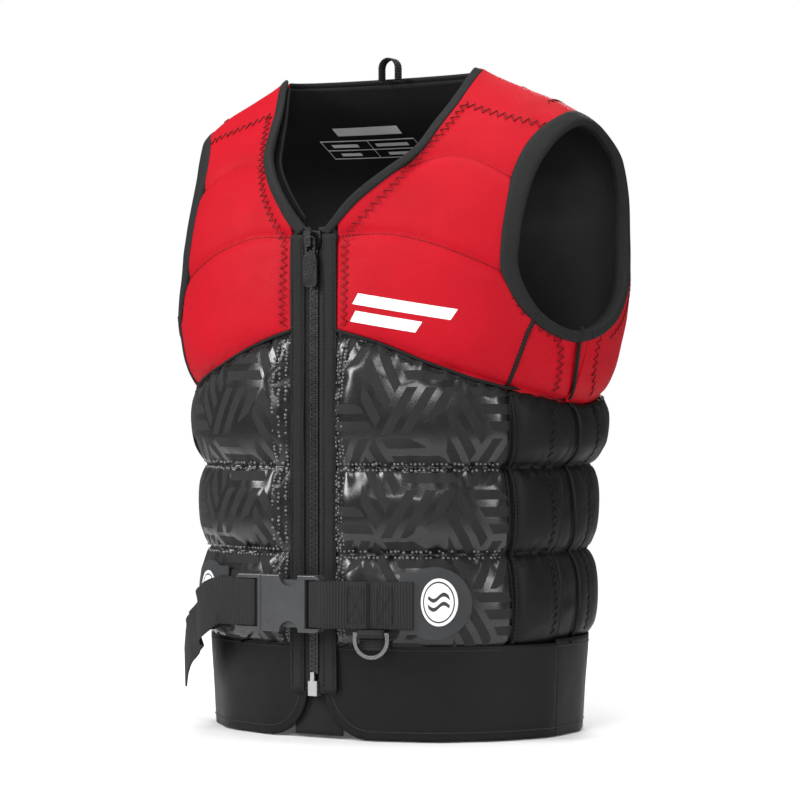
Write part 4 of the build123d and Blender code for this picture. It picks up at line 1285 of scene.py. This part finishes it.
profile = [seat + outward * 1.2 + np.array([0, 0, -13.5]), seat + outward * 1.2 + np.array([0, 0, -6])]
profile += [seat + outward * (ring_out - 3.05 * math.cos(a)) + np.array([0, 0, 3.05 * math.sin(a)])
            for a in np.linspace(0.25, math.pi + 1.2, 12)]
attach(folded_tape("ring_loop", profile, tangent, 22, 1.4), "front_left")
profile = [np.array([-8.0, 0, NAPE - 1]), np.array([-8.0, 0, NAPE + 8])]
profile += [np.array([-8 * math.cos(a), 0, NAPE + 9 + 8 * math.sin(a)])
            for a in np.linspace(0.1, math.pi - 0.1, 9)]
profile += [np.array([8.0, 0, NAPE + 8]), np.array([8.0, 0, NAPE - 1])]
profile = [point + np.array([0, 1.0, 0]) for point in profile]
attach(folded_tape("hang_loop", profile, np.array([0, 1.0, 0]), 10, 1.6), "back")


# ---- plain printed marks --------------------------------------------------------------------
def printed(name, quads, depth, behind=False):
    """Thin white shapes, each four corners in X and Z, draped over a surface. depth gives its inset."""
    across, up = 26, 6
    s = np.linspace(0, 1, across)[None, :, None]
    t = np.linspace(0, 1, up)[:, None, None]
    points, faces = [], []
    for quad in np.array(quads, float):
        spots = (1 - t) * ((1 - s) * quad[0] + s * quad[1]) + t * ((1 - s) * quad[3] + s * quad[2])
        turn = turn_at_x(spots[..., 0], spots[..., 1], behind)
        base = len(points)
        points.extend(place(turn, spots[..., 1], depth(turn, spots[..., 1])).reshape(-1, 3))
        faces.extend([tuple(base + k for k in face) for face in grid_faces(up, across)])
    return make_object(name, np.array(points), faces, WHITE)


SLANT, SLOPE = 5.0, -0.17


def bar_quad(left, right, foot, high):
    """Slanted bar that follows the slope of the chest seam."""
    drop = SLOPE * (right - left)
    return [(left, foot), (right, foot + drop), (right + SLANT, foot + high + drop), (left + SLANT, foot + high)]


chest_marks = [bar_quad(38, 118, 351, 8.5), bar_quad(36, 92, 337, 8.5)]
on_front(printed("chest_print", chest_marks, lambda turn, z: chest_relief(turn, z) - 0.3))
label = [[(-108, z), (-12, z), (-12, z + 0.7), (-108, z + 0.7)] for z in (498, 504.5, 511)]
label += [[(x, 498), (x + 0.7, 498), (x + 0.7, 511.7), (x, 511.7)] for x in (-108, -62, -12.7)]
label += [[(x, z), (x + wide, z), (x + wide, z + high), (x, z + high)] for x, z, wide, high in
          ((-86, 515, 66, 6), (-100, 506.8, 26, 2.2), (-56, 506.8, 34, 2.2), (-98, 500.4, 20, 2.2),
           (-50, 500.4, 24, 2.2))]


def label_depth(turn, z):
    """Just inside the lining, whose wall is deeper to cross where it leans."""
    here = place(turn, z, lining_relief(turn, z))
    above = place(turn, z + 1.0, lining_relief(turn, z + 1.0))
    return lining_relief(turn, z) + 2.4 * np.linalg.norm(above - here, axis=-1) + 0.5


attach(printed("size_label", label, label_depth, behind=True), "back")


# ---- hardware kept from the CAD --------------------------------------------------------------
def dress(node, paint, bevel, segments=3):
    """Material and softened edges for a CAD part that is shown as it is."""
    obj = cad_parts[node]
    obj.data.materials.clear()
    obj.data.materials.append(paint)
    edge = obj.modifiers.new("edges", "BEVEL")
    edge.width = bevel * MM
    edge.segments = segments
    edge.limit_method = "ANGLE"
    edge.angle_limit = math.radians(40)


for side, badge_x in (("left", 0.111), ("right", -0.111)):
    dress(f"zip_teeth_{side}", TEETH, 0.35, 2)
    dress(f"belt_patch_{side}", RUBBER, 0.5)
    dress(f"badge_{side}", badge_paint(f"badge_{side}", badge_x, 0.113), 0.4)
for node, paint, slot, bevel in (
        ("zip_box", SILVER, "silver_metal", 0.4),
        ("zip_pin", SILVER, "silver_metal", 0.3),
        ("slider_front", BLACK_METAL, "black_metal", 0.45),
        ("slider_back", BLACK_METAL, "black_metal", 0.3),
        ("zip_pull", BLACK_METAL, "black_metal", 0.5),
        ("buckle_socket", BUCKLE, "buckle_plastic", 1.2),
        ("buckle_plug", BUCKLE, "buckle_plastic", 0.8),
        ("prong_upper", BUCKLE, "buckle_plastic", 0.6),
        ("prong_lower", BUCKLE, "buckle_plastic", 0.6),
        ("d_ring", STEEL, "steel_ring", 0.9)):
    dress(node, paint, bevel)


# ---- floor, light and camera ----------------------------------------------------------------
floor_mesh = bpy.data.meshes.new("floor")
floor_mesh.from_pydata([(-4, -4, -0.001), (4, -4, -0.001), (4, 4, -0.001), (-4, 4, -0.001)], [], [(0, 1, 2, 3)])
floor = bpy.data.objects.new("floor", floor_mesh)
bpy.context.collection.objects.link(floor)
floor_paint = Paint("floor", (0.86, 0.86, 0.86), 0.8)
floor_paint.rough(floor_paint.noise(3), 0.75, 0.85)
away = floor_paint.vector("LENGTH", floor_paint.place.outputs["Object"])
near_part = floor_paint.nodes.new("ShaderNodeMapRange")
near_part.interpolation_type = "SMOOTHSTEP"
for socket, value in (("From Min", 0.3), ("From Max", 1.5), ("To Min", 1.0), ("To Max", 0.0)):
    near_part.inputs[socket].default_value = value
floor_paint.links.new(away, near_part.inputs["Value"])
floor_paint.links.new(near_part.outputs["Result"], floor_paint.shader.inputs["Alpha"])
floor_mesh.materials.append(floor_paint.material)
floor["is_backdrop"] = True

scene = bpy.context.scene
scene.view_settings.view_transform = "Standard"
world = bpy.data.worlds.new("studio")
scene.world = world
world.use_nodes = True
# A bright backdrop behind the object, and dimmer light from all round on it.
shade = world.node_tree.nodes["Background"]
shade.inputs["Color"].default_value = (1, 1, 1, 1)
rays = world.node_tree.nodes.new("ShaderNodeLightPath")
strength = world.node_tree.nodes.new("ShaderNodeMapRange")
strength.inputs["To Min"].default_value = 0.2
strength.inputs["To Max"].default_value = 1.0
world.node_tree.links.new(rays.outputs["Is Camera Ray"], strength.inputs["Value"])
world.node_tree.links.new(strength.outputs["Result"], shade.inputs["Strength"])


def softbox(name, spot, aim, size, power):
    """Rectangular area light aimed at a point, in metres."""
    lamp = bpy.data.lights.new(name, "AREA")
    lamp.shape = "RECTANGLE"
    lamp.size, lamp.size_y = size
    lamp.energy = power
    obj = bpy.data.objects.new(name, lamp)
    bpy.context.collection.objects.link(obj)
    obj.location = spot
    obj.rotation_mode = "QUATERNION"
    obj.rotation_quaternion = (Vector(aim) - Vector(spot)).to_track_quat("-Z", "Y")


softbox("key", (-1.5, -1.8, 1.5), (0, 0, 0.3), (0.8, 1.5), 66)
softbox("front", (0.9, -2.6, 1.1), (0, 0, 0.3), (1.3, 0.5), 24)
softbox("side", (2.3, -0.6, 0.8), (0, 0, 0.25), (0.4, 1.6), 22)
softbox("top", (0.2, 0.3, 2.4), (0, 0, 0.4), (1.6, 1.6), 34)
softbox("neck", (0.3, -1.6, 2.1), (0, 0.1, 0.45), (0.6, 0.6), 14)
softbox("behind", (-0.9, 2.1, 1.2), (0, 0, 0.3), (0.8, 1.6), 34)

AZIMUTH = math.radians(31)
camera = bpy.data.objects.new("camera", bpy.data.cameras.new("camera"))
bpy.context.collection.objects.link(camera)
back = Vector((math.sin(AZIMUTH), -math.cos(AZIMUTH), 0))
aside = Vector((math.cos(AZIMUTH), math.sin(AZIMUTH), 0))
camera.location = Vector((0, 0.014, 0.2738)) + back * 2.5 + aside * 0.0017
camera.rotation_mode = "QUATERNION"
camera.rotation_quaternion = (-back).to_track_quat("-Z", "Y")
camera.data.sensor_width = 36
camera.data.lens = 132.5
scene.camera = camera

low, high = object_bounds()
